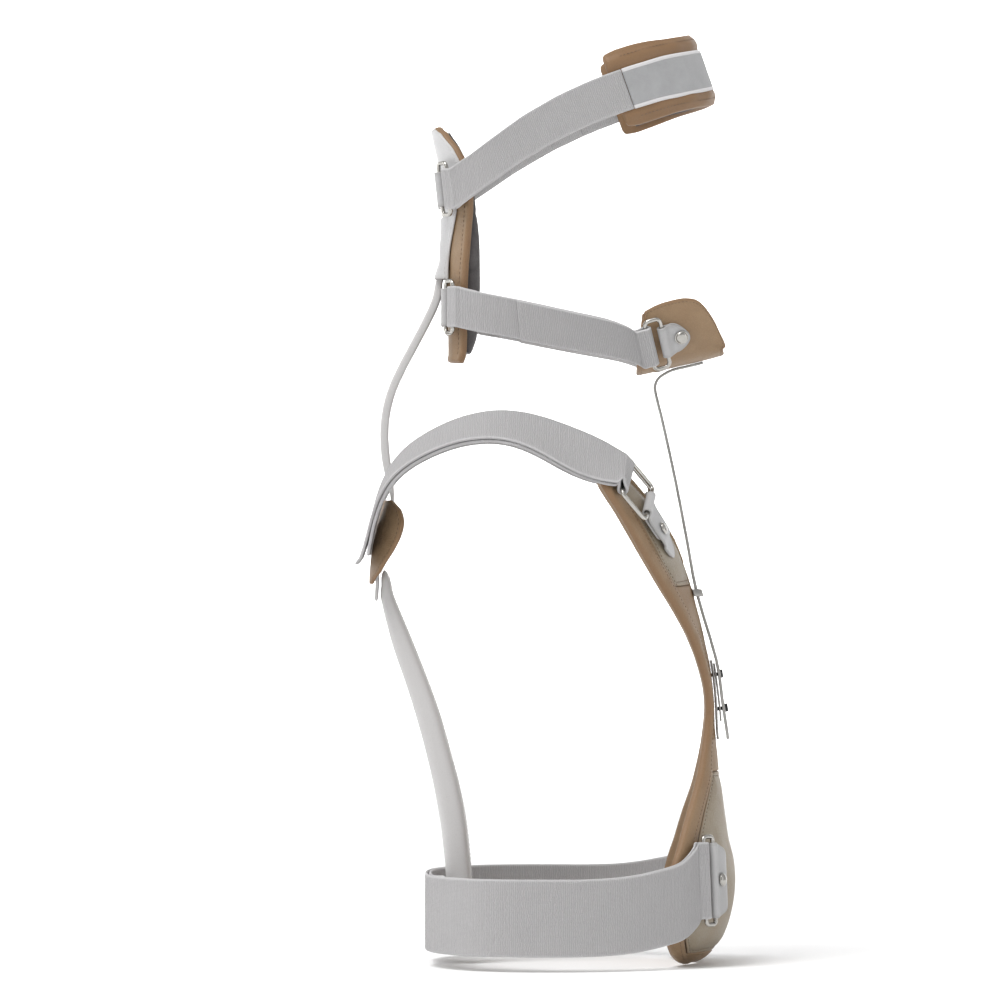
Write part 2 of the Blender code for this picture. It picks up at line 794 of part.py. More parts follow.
def smooth_path(points, pace):
    """A smooth curve through a few points, resampled."""
    result = []
    for low in range(len(points) - 1):
        count = max(1, round((points[low + 1] - points[low]).length / pace))
        for k in range(count):
            result.append(Vector(value_at(points, low + k / count)))
    result.append(points[-1].copy())
    return result


# Front plate


def plate_columns(row):
    """Shares across the plate at which its rims end, for a row."""
    inner, out = plate_point(row, 0.0), plate_point(row, 1.0)
    width = (out - inner).length
    on_arm = row > CROTCH - 1.5
    first = INNER_RIM_WIDTH / width if on_arm else 0.30
    last = 1.0 - min(RIM_WIDTH / width, 0.36)
    step = STEP_WIDTH / width
    return [0.0, first, first + step, (first + last) / 2, last - step, last, 1.0]


ARM_INSET = (WAIST + 3.9, WAIST + 10.3)
BELLY_INSET = (1.6, WAIST - 2.6)


def recess(row, column):
    """How far the face lies below the rim at a row and a column number."""
    if ARM_INSET[0] <= row <= ARM_INSET[1] and 2 <= column <= 4:
        return RECESS_DEPTH
    if BELLY_INSET[0] <= row <= BELLY_INSET[1] and column <= 4:
        return RECESS_DEPTH
    if row > len(PLATE_ROWS) - 1.01:
        return PLATE_THICKNESS * 0.6
    if row > len(PLATE_ROWS) - 2.01:
        return PLATE_THICKNESS * (0.5 if column == 6 else 0.2)
    return PLATE_THICKNESS * 0.25 if column == 6 else 0.0


def plate_face(row, across, level):
    normal = face_normal(plate_point, row, min(max(across, 0.002), 0.998), Vector((1, 0, 0)))
    if row <= CROTCH and across == 0.0:
        normal.y = 0.0
        normal.normalize()
    return plate_point(row, across) + normal * level


def row_numbers():
    step = 0.08
    rows = [float(r) for r in range(len(PLATE_ROWS))]
    for start, end in (ARM_INSET, BELLY_INSET):
        rows += [start, start - step, end, end + step]
    rows = sorted(rows)
    return [r for i, r in enumerate(rows) if i == 0 or r - rows[i - 1] > step * 0.5]


def make_front_plate():
    """Padded plate with raised rims: a belly oval, a narrow waist and two arms."""
    rows = row_numbers()
    columns = 7
    points, index = [], {}
    for r, row in enumerate(rows):
        shares = plate_columns(row)
        for c in range(columns):
            for layer in (0, 1):
                level = PLATE_THICKNESS - recess(row, c) if layer else 0.0
                spot = plate_face(row, shares[c], level)
                shared = c == 0 and row <= CROTCH
                for side in (-1, 1):
                    if shared and side == 1:
                        index[r, c, layer, side] = index[r, c, layer, -1]
                        continue
                    index[r, c, layer, side] = len(points)
                    points.append((spot.x, 0.0 if shared else side * spot.y, spot.z))
    faces = []
    for side in (-1, 1):
        for r in range(len(rows) - 1):
            for c in range(columns - 1):
                for layer in (0, 1):
                    faces += split([index[key] for key in (
                        (r, c, layer, side), (r, c + 1, layer, side),
                        (r + 1, c + 1, layer, side), (r + 1, c, layer, side))], False)
            edges = [columns - 1] + ([0] if rows[r] >= CROTCH else [])
            for c in edges:
                faces.append(tuple(index[key] for key in (
                    (r, c, 0, side), (r + 1, c, 0, side), (r + 1, c, 1, side), (r, c, 1, side))))
        for r in (0, len(rows) - 1):
            for c in range(columns - 1):
                faces.append(tuple(index[key] for key in (
                    (r, c, 0, side), (r, c + 1, 0, side), (r, c + 1, 1, side), (r, c, 1, side))))
    return build("front_plate", points, faces, tan_leather())


def inset_grid(first, last, whole):
    """Floor and face grids of an inset panel that lies in a recess."""
    rows = [first + 0.03] + [r for r in row_numbers() if first + 0.1 < r < last - 0.1] + [last - 0.03]
    outer, inner = [], []
    floor = PLATE_THICKNESS - RECESS_DEPTH + SEAT_GAP / 2
    for row in rows:
        shares = plate_columns(row)
        step = shares[5] - shares[4]
        picked = [shares[2] + 0.5 * step, shares[3], shares[4] - 0.5 * step]
        if whole:
            picked = [0.0, shares[1], shares[2], shares[3], shares[4] - 0.5 * step]
        for grid, level in ((outer, floor + INSET_THICKNESS), (inner, floor)):
            line = [plate_face(row, share, level) for share in picked]
            if whole:
                line[0].y = 0.0
                line = [Vector((p.x, -p.y, p.z)) for p in reversed(line[1:])] + line
            grid.append(line)
    return outer, inner


def make_insets():
    arm_outer, arm_inner = inset_grid(*ARM_INSET, False)
    both_sides(lambda word, side: shell(
        "chest_inset_" + word, arm_outer, arm_inner, panel_leather(), side))
    outer, inner = inset_grid(*BELLY_INSET, True)
    shell("belly_inset", outer, inner, panel_leather(), middle=len(outer[0]) // 2)


# Occipital plate, pad and cover


def occiput_grid(heights, shares, level):
    """Grid over the plate, moved toward the head by level."""
    grid = []
    for height in heights:
        half = occiput_half_width(height)
        line = []
        for share in shares:
            out = share * half
            point = occiput_point(height, out)
            normal = unit(Vector((OCCIPUT_RADIUS - (point.x + OCCIPUT_BACK), -out, 0)))
            line.append(point + normal * level)
        grid.append(line)
    return grid


OCCIPUT_COLUMNS = (-1, -0.93, -0.7, -0.42, -0.14, 0.14, 0.42, 0.7, 0.93, 1)


def occiput_heights():
    """Heights that the plate and its pad share, so that their facets lie together."""
    heights = sorted({row[0] for row in OCCIPUT_ROWS} | {row[0] for row in PAD_ROWS})
    return heights


def make_occipital_plate():
    heights = occiput_heights()
    outer = occiput_grid(heights, OCCIPUT_COLUMNS, 0.0)
    inner = occiput_grid(heights, OCCIPUT_COLUMNS, OCCIPUT_THICKNESS)
    return shell("occipital_plate", outer, inner, tan_leather())


def make_occipital_pad():
    first, last = PAD_ROWS[0][0], PAD_ROWS[-1][0]
    heights = [h for h in occiput_heights() if first <= h <= last]
    shares = OCCIPUT_COLUMNS[1:-1]
    outer = occiput_grid(heights, shares, OCCIPUT_THICKNESS + SEAT_GAP)
    inner = []
    for height, base in zip(heights, outer):
        thick = value_at(PAD_ROWS, row_place(PAD_ROWS, height))[1]
        line = []
        for share, point in zip(shares, base):
            soft = 0.55 if abs(share) > 0.9 else 1.0
            out = occiput_half_width(height) * share
            normal = unit(Vector((OCCIPUT_RADIUS, -out, 0)))
            line.append(point + normal * PAD_THICKNESS * thick * soft)
        inner.append(line)
    return shell("occipital_pad", outer, inner, dark_lining())


def neck_points():
    """Middle of the neck bar with its half thickness, from its hidden top to its bare tip."""
    upper = []
    for height in (0.62, 0.55, 0.48, 0.43):
        surface = occiput_point(height, 0.0)
        half = NECK_BAR_BARE / 2 if height > 0.5 else NECK_BAR_BARE * 0.7
        upper.append((Vector((surface.x - SEAT_GAP - half, 0, surface.z)), half))
    leave = occiput_point(0.27, 0.0)
    start = Vector((leave.x - NECK_BAR_LEAVE, 0, leave.z))
    middle = [(start.lerp(upper[-1][0], 0.45) + Vector((-NECK_BAR_LEAVE * 0.075, 0, 0)),
               NECK_BAR_THICKNESS * 0.42),
              (start, NECK_BAR_THICKNESS / 2)]
    lower = []
    for height in (1.0, 0.78, 0.5, 0.22, 0.0):
        surface = back_plate_point(height, 0.0)
        hollow = BACK_PLATE_RADIUS - BACK_PLATE_THICKNESS
        sag = hollow - math.sqrt(hollow**2 - (NECK_BAR_WIDTH / 2)**2)
        shift = BACK_PLATE_THICKNESS + SEAT_GAP + sag + NECK_BAR_BARE / 2
        lower.append((Vector((surface.x + shift, 0, surface.z)), NECK_BAR_BARE / 2))
    tip = lower[-1][0] + unit(lower[-1][0] - lower[-2][0]) * NECK_BAR_TIP
    lower.append((tip, NECK_BAR_BARE / 2))
    end = lower[0][0] + Vector((-NECK_BAR_ENTRY * 0.14, 0, NECK_BAR_ENTRY))
    for along, bow in NECK_BOW_ROWS:
        point = start.lerp(end, along) + Vector((-NECK_BAR_BOW * bow, 0, 0))
        middle.append((point, NECK_BAR_THICKNESS / 2))
    middle.append((end, NECK_BAR_THICKNESS * 0.42))
    return upper + middle + lower


def make_neck_bar():
    stations = neck_points()
    across = Vector((0, 1, 0))
    made = rounded_bar("neck_bar", [p for p, _ in stations],
                       [(half, NECK_BAR_WIDTH / 2) for _, half in stations],
                       across, white_leather(), sides=8, power=0.35)
    tip = stations[-1][0]
    drill(made, Vector((tip.x, 0, tip.z + NECK_HOLE_RADIUS * 2)), Vector((1, 0, 0)),
          NECK_HOLE_RADIUS)
    return made


def make_occipital_cover():
    """White leather over the plate and the bar's top, narrowing to the bar's width."""
    bar = neck_points()
    bar_line = sorted([(p.z, p.x - half) for p, half in bar[:8]])
    edge = NECK_BAR_WIDTH / 2 + COVER_SLACK
    rows_outer, rows_inner = [], []
    for height, share in COVER_ROWS:
        z = OCCIPUT_BASE + height * OCCIPUT_HEIGHT
        half = max(share * OCCIPUT_HALF_WIDTH, edge + 1.6 * COVER_SLACK)
        bar_x = None
        for (z0, x0), (z1, x1) in zip(bar_line, bar_line[1:]):
            if z0 - 1e-6 <= z <= z1 + 1e-6:
                bar_x = x0 + (x1 - x0) * (z - z0) / (z1 - z0)
        top_outer, top_inner = [], []
        lane = [edge + (half - edge) * k / 3 for k in range(4)]
        for out in [-v for v in reversed(lane)] + [0.0] + lane:
            x = occiput_point(height, out).x
            if bar_x is not None and abs(out) <= edge + 1e-6:
                x = min(x, bar_x)
            slope = out / OCCIPUT_RADIUS
            away = Vector((-math.sqrt(1 - slope**2), slope, 0))
            base = Vector((x, out, z)) + away * SEAT_GAP
            top_inner.append(base)
            top_outer.append(base + away * COVER_THICKNESS)
        rows_outer.append(top_outer)
        rows_inner.append(top_inner)
    return shell("occipital_cover", rows_outer, rows_inner, white_leather())


# Chin support and its bar


def chin_face(row, around, level):
    normal = face_normal(chin_point, row, min(max(around, 0.02), 0.98), Vector((0, 1, -1)))
    if around == 0.0:
        normal = Vector((normal.x, 0, normal.z)).normalized()
    return chin_point(row, around) + normal * level


def make_chin_support():
    shares = (0.0, 0.16, 0.32, 0.46, 0.58, 0.70, 0.84, 1.0)
    outer, inner = [], []
    for row in range(len(CHIN_ROWS)):
        for grid, level in ((outer, CHIN_THICKNESS), (inner, 0.0)):
            line = [chin_face(row, share, level) for share in shares]
            grid.append([Vector((p.x, -p.y, p.z)) for p in reversed(line[1:])] + line)
    return shell("chin_support", outer, inner, tan_leather())


def chin_base_line(x):
    """Height of the chin support's under side above a place on the bar."""
    share = (x + CHIN_BACK) / CHIN_LENGTH
    rise = value_at(CHIN_ROWS, row_place(CHIN_ROWS, share))[1]
    return CHIN_BASE + rise * CHIN_RISE - CHIN_THICKNESS


def bar_points():
    """Middle of the chin bar, from under the chin to its foot."""
    points = []
    for share in (0.060, 0.343, 0.643):
        x = -share * BAR_HEEL_BACK
        level = chin_base_line(x) - 1.4 * SEAT_GAP - BAR_THICKNESS / 2
        points.append(Vector((x, 0, level)))
    heel = chin_base_line(-0.814 * BAR_HEEL_BACK)
    for share, drop in ((0.814, 0.182), (0.931, 0.364), (1.0, 0.636), (0.994, 1.0)):
        points.append(Vector((-share * BAR_HEEL_BACK, 0, heel - drop * BAR_HEEL_DROP)))
    hold = stack_level(CHEST_HEIGHT * 0.175, BRACKET_THICKNESS + CLAMP_THICKNESS + 2 * WIRE_GAP)
    hold.x += BAR_THICKNESS / 2 + WIRE_GAP
    foot = Vector((BAR_FOOT_FORWARD, 0, -BAR_FOOT_DROP))
    low = points[-1]
    guide = Vector((guide_face() + BAR_THICKNESS / 2 + 1.5 * BAR_BOW, 0, GUIDE_HEIGHT))
    for share, bow in ((0.16, 0.67), (0.45, 1.0), (0.75, 0.5)):
        points.append(low.lerp(guide, share) + Vector((BAR_BOW * bow, 0, 0)))
    points.append(guide)
    points.append(hold)
    points.append(hold.lerp(foot, 0.5))
    points.append(foot)
    return points


def plate_front_x(z):
    """Front of the front plate on its centre line at a height."""
    low, high = 0.0, float(CROTCH)
    for _ in range(30):
        middle = (low + high) / 2
        if plate_face(middle, 0.0, PLATE_THICKNESS).z < z:
            low = middle
        else:
            high = middle
    return plate_face(low, 0.0, PLATE_THICKNESS).x


def stack_level(z, height):
    """Point in front of the plate at a height, on a stack of flat pieces."""
    return Vector((plate_front_x(z) + SEAT_GAP + height, 0, z))


def guide_face():
    """Seat of the guide's feet, which stand beside the bar where the plate falls away."""
    return plate_front_x(GUIDE_HEIGHT) - SEAT_GAP * 0.2


def drill(target, centre, axis, radius):
    """Cut a round hole right through a piece."""
    mesh = bpy.data.meshes.new("cutter_mesh")
    work = bmesh.new()
    bmesh.ops.create_cone(work, cap_ends=True, segments=12, radius1=radius, radius2=radius, depth=8 * BOLT_HEAD_HEIGHT)
    work.to_mesh(mesh)
    work.free()
    cutter = bpy.data.objects.new("cutter", mesh)
    bpy.context.collection.objects.link(cutter)
    cutter.location = centre
    cutter.rotation_mode = "QUATERNION"
    cutter.rotation_quaternion = Vector((0, 0, 1)).rotation_difference(axis)
    cutter.hide_render = True
    cutter.display_type = "WIRE"
    cut = target.modifiers.new("hole", "BOOLEAN")
    cut.operation = "DIFFERENCE"
    cut.object = cutter


BOLT_HEIGHTS = {"upper": UPPER_BOLT_UP, "lower": -LOWER_BOLT_DOWN}


def bolt_axis():
    """The bolts stand square on the chin bar's lower stretch."""
    points = bar_points()
    way = unit(points[-1] - points[-3])
    return Vector((-way.z, 0, way.x))


def bar_at(z):
    points = bar_points()
    for a, b in zip(points[-4:], points[-3:]):
        if b.z <= z <= a.z:
            return a.lerp(b, (a.z - z) / (a.z - b.z))
    return points[-2]


def make_chin_bar():
    points = bar_points()
    widths = [Vector((0, BAR_WIDTH / 2, 0))] * len(points)
    made = ribbon("chin_bar", points, widths, BAR_THICKNESS, bar_steel(), rounding=0.06)
    for z in BOLT_HEIGHTS.values():
        drill(made, bar_at(z), bolt_axis(), BOLT_HOLE_RADIUS)
    return made


def make_bracket_and_clamp():
    """The strip that lies on the plate and the shorter strip between it and the bar."""
    across = Vector((0, 1, 0))
    heights = [CHEST_HEIGHT * 0.176 - BAR_FOOT_DROP * 2.03 * k / 5 for k in range(6)]
    points = [stack_level(z, BRACKET_THICKNESS / 2) for z in heights]
    bracket = ribbon("sternum_bracket", points, [across * BRACKET_WIDTH / 2] * 6,
                     BRACKET_THICKNESS, bar_steel(), rounding=0.06)
    points = []
    for share in (1.0, 0.59, 0.08, -0.31, -0.57):
        z = share * CLAMP_TOP
        low = stack_level(z, BRACKET_THICKNESS)
        high = bar_at(z).x - BAR_THICKNESS / 2
        room = max(high - low.x, CLAMP_THICKNESS + 2 * WIRE_GAP)
        points.append(Vector((low.x + room / 2, 0, z)))
    clamp = ribbon("clamp_plate", points, [across * BAR_WIDTH / 2] * 5, CLAMP_THICKNESS,
                   bar_steel(), rounding=0.06)
    for z in BOLT_HEIGHTS.values():
        for piece in (bracket, clamp):
            drill(piece, bar_at(z), bolt_axis(), BOLT_HOLE_RADIUS)


def make_bolts():
    """Socket screws whose shanks pass through the bar, the clamp and the bracket."""
    axis = bolt_axis()
    across = Vector((0, 1, 0))
    up = axis.cross(across)
    for word, z in BOLT_HEIGHTS.items():
        face = bar_at(z) + axis * (BAR_THICKNESS / 2 + WIRE_GAP)
        tip = (bar_at(z).x - plate_front_x(z)) - 1.6 * SEAT_GAP + BAR_THICKNESS / 2
        profile = ((BOLT_RADIUS, -tip), (BOLT_RADIUS, 0.0), (BOLT_HEAD_RADIUS, 0.0),
                   (BOLT_HEAD_RADIUS, BOLT_HEAD_HEIGHT * 0.85),
                   (BOLT_HEAD_RADIUS * 0.85, BOLT_HEAD_HEIGHT))
        sections = [[face + axis * along
                     + (across * math.cos(math.pi * k / 5) + up * math.sin(math.pi * k / 5)) * radius
                     for k in range(10)] for radius, along in profile]
        loft("clamp_bolt_" + word, sections, black_steel())


def make_bar_guide():
    """A flat staple that stands on the plate and bridges the bar."""
    base = guide_face()
    inner = BAR_WIDTH / 2 + 2 * WIRE_GAP
    outer = inner + GUIDE_THICKNESS
    foot = outer + GUIDE_WIDTH * 0.9
    top = bar_points()[-4].x + BAR_THICKNESS / 2 + SEAT_GAP
    line = [(-foot, base), (-outer, base), (-outer, top + GUIDE_THICKNESS),
            (outer, top + GUIDE_THICKNESS), (outer, base), (foot, base),
            (foot, base + GUIDE_THICKNESS), (outer + GUIDE_THICKNESS, base + GUIDE_THICKNESS),
            (outer + GUIDE_THICKNESS, top + 2 * GUIDE_THICKNESS),
            (-outer - GUIDE_THICKNESS, top + 2 * GUIDE_THICKNESS),
            (-outer - GUIDE_THICKNESS, base + GUIDE_THICKNESS), (-foot, base + GUIDE_THICKNESS)]
    rise = plate_front_x(GUIDE_HEIGHT + GUIDE_WIDTH) - plate_front_x(GUIDE_HEIGHT - GUIDE_WIDTH)
    slope = rise / (2 * GUIDE_WIDTH)
    sections = []
    for lift in (-GUIDE_WIDTH / 2, GUIDE_WIDTH / 2):
        sections.append([Vector((x + slope * lift, y, GUIDE_HEIGHT + lift)) for y, x in line])
    count = len(line)
    points = sections[0] + sections[1]
    faces = [(k, (k + 1) % count, count + (k + 1) % count, count + k) for k in range(count)]
    faces += [tuple(range(count)), tuple(range(count, 2 * count))]
    return build("bar_guide", points, faces, bar_steel(), smooth=False)


# Back plate and back bar


def make_back_plate():
    shares = (-1, -0.9, -0.7, -0.45, -0.15, 0.15, 0.45, 0.7, 0.9, 1)
    outer, inner = [], []
    for height, _, half in BACK_PLATE_ROWS:
        for grid, level in ((outer, 0.0), (inner, BACK_PLATE_THICKNESS)):
            line = []
            for share in shares:
                out = share * half * BACK_PLATE_HALF_WIDTH
                point = back_plate_point(height, out)
                inward = unit(Vector((math.sqrt(BACK_PLATE_RADIUS**2 - out**2), -out, 0)))
                line.append(point + inward * level)
            grid.append(line)
    return shell("back_plate", outer, inner, tan_leather())


def back_bar_stations():
    """Middle of the back bar with its half thickness and half width."""
    foot = neck_points()[-2][0]
    first = BACK_BAR_ROWS[0][2] * BACK_BAR_THICKNESS / 2
    start = Vector((foot.x + NECK_BAR_BARE / 2 + 2.4 * SEAT_GAP + first, 0,
                    BACK_PLATE_BASE + BACK_BAR_LAP))
    stations = []
    for down, forward, thick, wide in BACK_BAR_ROWS:
        z = start.z - down * (start.z + BACK_BAR_DROP)
        stations.append((Vector((start.x + forward * BACK_BAR_FORWARD, 0, z)),
                         (thick * BACK_BAR_THICKNESS / 2, wide * BACK_BAR_WIDTH / 2)))
    first_rows = 3
    for k in range(first_rows):
        point, halves = stations[k]
        point.x = max(point.x, start.x - first + halves[0] + SEAT_GAP * 0.4)
    return stations


def make_back_bar():
    stations = back_bar_stations()
    return rounded_bar("back_bar", [p for p, _ in stations], [h for _, h in stations],
                       Vector((0, 1, 0)), white_leather(), sides=12, power=0.6)


def bar_rear_x(z):
    """Rear face of the back bar at a height."""
    stations = back_bar_stations()
    for (a, ha), (b, hb) in zip(stations, stations[1:]):
        if b.z <= z <= a.z:
            part = (a.z - z) / (a.z - b.z)
            return a.lerp(b, part).x - (ha[0] + (hb[0] - ha[0]) * part)
    return stations[-1][0].x - stations[-1][1][0]


def make_belt_seat():
    """Leather block between the back bar and the waist strap."""
    half = SEAT_WIDTH / 2
    low, high = -BELT_DROP - SEAT_HEIGHT / 2, -BELT_DROP + SEAT_HEIGHT / 2
    heights = [low] + sorted(p.z for p, _ in back_bar_stations() if low < p.z < high) + [high]
    rear = belt_back_x() + LAYER + WEB_THICKNESS / 2 + SEAT_GAP * 1.6
    outer = [[Vector((rear, out, z)) for out in (-half, half)] for z in heights]
    inner = [[Vector((bar_rear_x(z) - SEAT_GAP, out, z)) for out in (-half, half)] for z in heights]
    return shell("belt_seat", outer, inner, white_leather())


def belt_back_x():
    """Middle of the waist strap's two layers behind the back bar."""
    top = bar_rear_x(-BELT_DROP + SEAT_HEIGHT / 2)
    low = bar_rear_x(-BELT_DROP - SEAT_HEIGHT / 2)
    return min(top, low) - SEAT_THICKNESS - 2 * SEAT_GAP - LAYER - WEB_THICKNESS / 2


# Fixings on the plates


def waist_fixing():
    start = (WAIST - 6.55, 0.755)
    track = Track(plate_point, start, (0, -1), 2 * WAIST_TAB_LENGTH, Vector((1, 0, 0)),
                  PLATE_THICKNESS + SEAT_GAP)
    return Fixing(track, WAIST_RING_LENGTH, WAIST_WEB_WIDTH, WAIST_TAB_WIDTH,
                  Vector((0, 0, -1)))


def chest_fixing():
    track = Track(plate_point, (WAIST + 9.85, 0.52), (-1, 0), 2 * CHEST_TAB_LENGTH, Vector((1, 0, 0)),
                  PLATE_THICKNESS + SEAT_GAP)
    return Fixing(track, CHEST_RING_LENGTH, SHOULDER_WEB_WIDTH, CHEST_TAB_WIDTH,
                  Vector((0, 1, 0)))


def chin_fixing():
    track = Track(chin_point, (0.62, 0.735), (1, 0), 2.4 * CHIN_TAB_LENGTH, Vector((0, 1, 0)),
                  CHIN_THICKNESS + SEAT_GAP)
    return Fixing(track, CHIN_RING_LENGTH, HEAD_WEB_WIDTH, CHIN_TAB_WIDTH, Vector((0, 0, -1)))


def occiput_fixing(height, out, length, tab_web, lift):
    track = Track(occiput_point, (height, out), (0, -1), 3 * HEAD_RING_LENGTH, Vector((-1, 0, 0)), lift)
    return Fixing(track, length, HEAD_WEB_WIDTH, tab_web, Vector((0, 0, -1)))


def head_fixing():
    return occiput_fixing(0.74, HEAD_RING_OUT, HEAD_RING_LENGTH, HEAD_TAB_WIDTH,
                          COVER_THICKNESS + 3.6 * SEAT_GAP)


def nape_fixing():
    return occiput_fixing(0.235, NAPE_RING_OUT, HEAD_RING_LENGTH, NAPE_TAB_WIDTH, SEAT_GAP)


def make_fixings():
    for word, side in (("right", -1), ("left", 1)):
        waist, chest, chin = waist_fixing(), chest_fixing(), chin_fixing()
        head, nape = head_fixing(), nape_fixing()
        waist.ring("waist_ring_" + word, WAIST_RING_CORNER, side)
        waist.tab("waist_tab_" + word, WAIST_TAB_LENGTH, WAIST_TAB_DOUBLE,
                  (1.0, 1.0, 0.92, 0.62), side)
        waist.rivet("waist_rivet_" + word, WAIST_RIVET_INSET, WAIST_RIVET_RADIUS, side)
        chest.ring("chest_ring_" + word, CHEST_RING_CORNER, side)
        chest.tab("chest_tab_" + word, CHEST_TAB_LENGTH, CHEST_TAB_DOUBLE,
                  (1.0, 1.0, 0.95, 0.75, 0.30), side)
        chest.rivet("chest_rivet_" + word, CHEST_RIVET_INSET, CHEST_RIVET_RADIUS, side)
        chin.ring("chin_ring_" + word, CHIN_RING_CORNER, side)
        chin.tab("chin_tab_" + word, CHIN_TAB_LENGTH, CHIN_TAB_LENGTH, (1.0, 0.94, 0.98, 0.55), side)
        chin.rivet("chin_rivet_" + word, CHIN_RIVET_INSET, CHIN_RIVET_RADIUS, side)
        head.ring("head_ring_" + word, HEAD_RING_CORNER, side)
        head.tab("head_tab_" + word, HEAD_TAB_LENGTH, HEAD_TAB_LENGTH, (1.0, 1.0, 0.95), side)
        nape.ring("nape_ring_" + word, HEAD_RING_CORNER, side)
        nape.tab("nape_tab_" + word, NAPE_TAB_LENGTH, NAPE_TAB_LENGTH, (1.0, 1.0, 0.9), side)


# Straps


def close_in(total, at_start=False):
    """Distances at which the layers draw apart near a bar."""
    near = [FOLD_BLEND * share for share in (0.6, 0.3)]
    return near if at_start else [total - d for d in near]


def make_waist_strap():
    """One strap: folded round both rings, its inner layer round the back, ends behind."""
    fixing = waist_fixing()
    start = fixing.strap_bar
    back = belt_back_x()
    half = [start.copy(), start + fixing.along * FOLD_BLEND * 0.6]
    for way, out, rise in BELT_ROWS[1:]:
        half.append(Vector((start.x + (back - start.x) * way, out * BELT_HALF_WIDTH,
                            -BELT_DROP + BELT_RISE * rise)))
    half = smooth_path(half, WAIST_PACE * 0.9)
    mirrored = [Vector((p.x, -p.y, p.z)) for p in half]
    points = mirrored + [p for p in reversed(half)]
    down = fixing.across
    near = []
    for i in range(len(half)):
        share = max(0.0, 1 - max(i - 1, 0) / 5)
        near.append(unit(Vector((0, 0, -1)).lerp(down, share)))
    widths = [Vector((w.x, -w.y, w.z)) for w in near] + [w for w in reversed(near)]
    route = Route(points, widths, Vector((0, -1, 0)))
    total = route.length
    grid = run(FOLD_BLEND, total - FOLD_BLEND, WAIST_PACE)
    tail = total / 2 - WAIST_TAIL_GAP / 2
    way = [(s, spread(s)) for s in reversed(grid) if s <= tail]
    way += [(s, spread(s)) for s in close_in(total, True)]
    way += list(reversed(fold(0.0, 1, start=True)))
    way += [(s, -spread(s)) for s in reversed(close_in(total, True))]
    way += [(s, -spread(min(s, total - s))) for s in grid]
    way += [(s, -spread(total - s)) for s in close_in(total)]
    way += fold(total, 1)
    way += [(s, spread(total - s)) for s in reversed(close_in(total))]
    way += [(s, spread(total - s)) for s in reversed(grid) if s >= total - tail]
    return strap("waist_strap", route, way, WAIST_WEB_WIDTH)


def fit_ends(points, first, last):
    """Shift a path smoothly so that it starts and ends at given points."""
    count = len(points) - 1
    start_shift, end_shift = first - points[0], last - points[-1]
    return [p + start_shift * (1 - k / count) ** 2 + end_shift * (k / count) ** 2
            for k, p in enumerate(points)]


def shoulder_route():
    fixing = chest_fixing()
    points, widths = [], []
    for back, out, up, wide in SHOULDER_ROWS:
        points.append(Vector((-back * BACK_DEPTH, out * SHOULDER_OUT, up * SHOULDER_UP)))
        widths.append(Vector(wide))
    rest = BACK_PLATE_HALF_WIDTH * 0.62
    seat = back_plate_point(0.34, rest)
    rear = back_plate_point(0.34, 0.0).x - LAYER - WEB_THICKNESS / 2 - SEAT_GAP
    first = Vector((rear, rest, seat.z))
    back, out, up = SHOULDER_RING
    points.append(Vector((-back * BACK_DEPTH, out * SHOULDER_OUT, up * SHOULDER_UP)))
    points = fit_ends(points, first, fixing.strap_bar)[:-1]
    over_edge = fixing.along * FOLD_BLEND * 0.6 + fixing.normal * PLATE_THICKNESS * 0.42
    points += [fixing.strap_bar + over_edge, fixing.strap_bar.copy()]
    widths += [fixing.across + fixing.normal * 0.1, fixing.across]
    rows = [tuple(p) + tuple(w) for p, w in zip(points, widths)]
    path, wides = [], []
    for low in range(len(rows) - 1):
        count = max(1, round((points[low + 1] - points[low]).length / CHIN_PACE))
        for k in range(count):
            values = value_at(rows, low + k / count)
            path.append(Vector(values[:3]))
            wides.append(Vector(values[3:]))
    path.append(points[-1])
    wides.append(widths[-1])
    return Route(path, wides, Vector((-1, 0, 0)))


def make_shoulder_strap(word, side):
    route = shoulder_route()
    total = route.length
    grid = run(0.0, total - FOLD_BLEND, SHOULDER_PACE)
    way = [(s, -spread(total - s)) for s in grid]
    way += [(s, -spread(total - s)) for s in close_in(total)]
    way += fold(total, 1)
    way += [(s, spread(total - s)) for s in reversed(close_in(total))]
    way += [(s, spread(total - s)) for s in reversed(grid[1:])]
    way += [(0.0, LAYER + TAIL_LIFT), (-TAIL_LENGTH, LAYER + 3.3 * TAIL_LIFT)]
    return strap("shoulder_strap_" + word, route, way, SHOULDER_WEB_WIDTH, side)


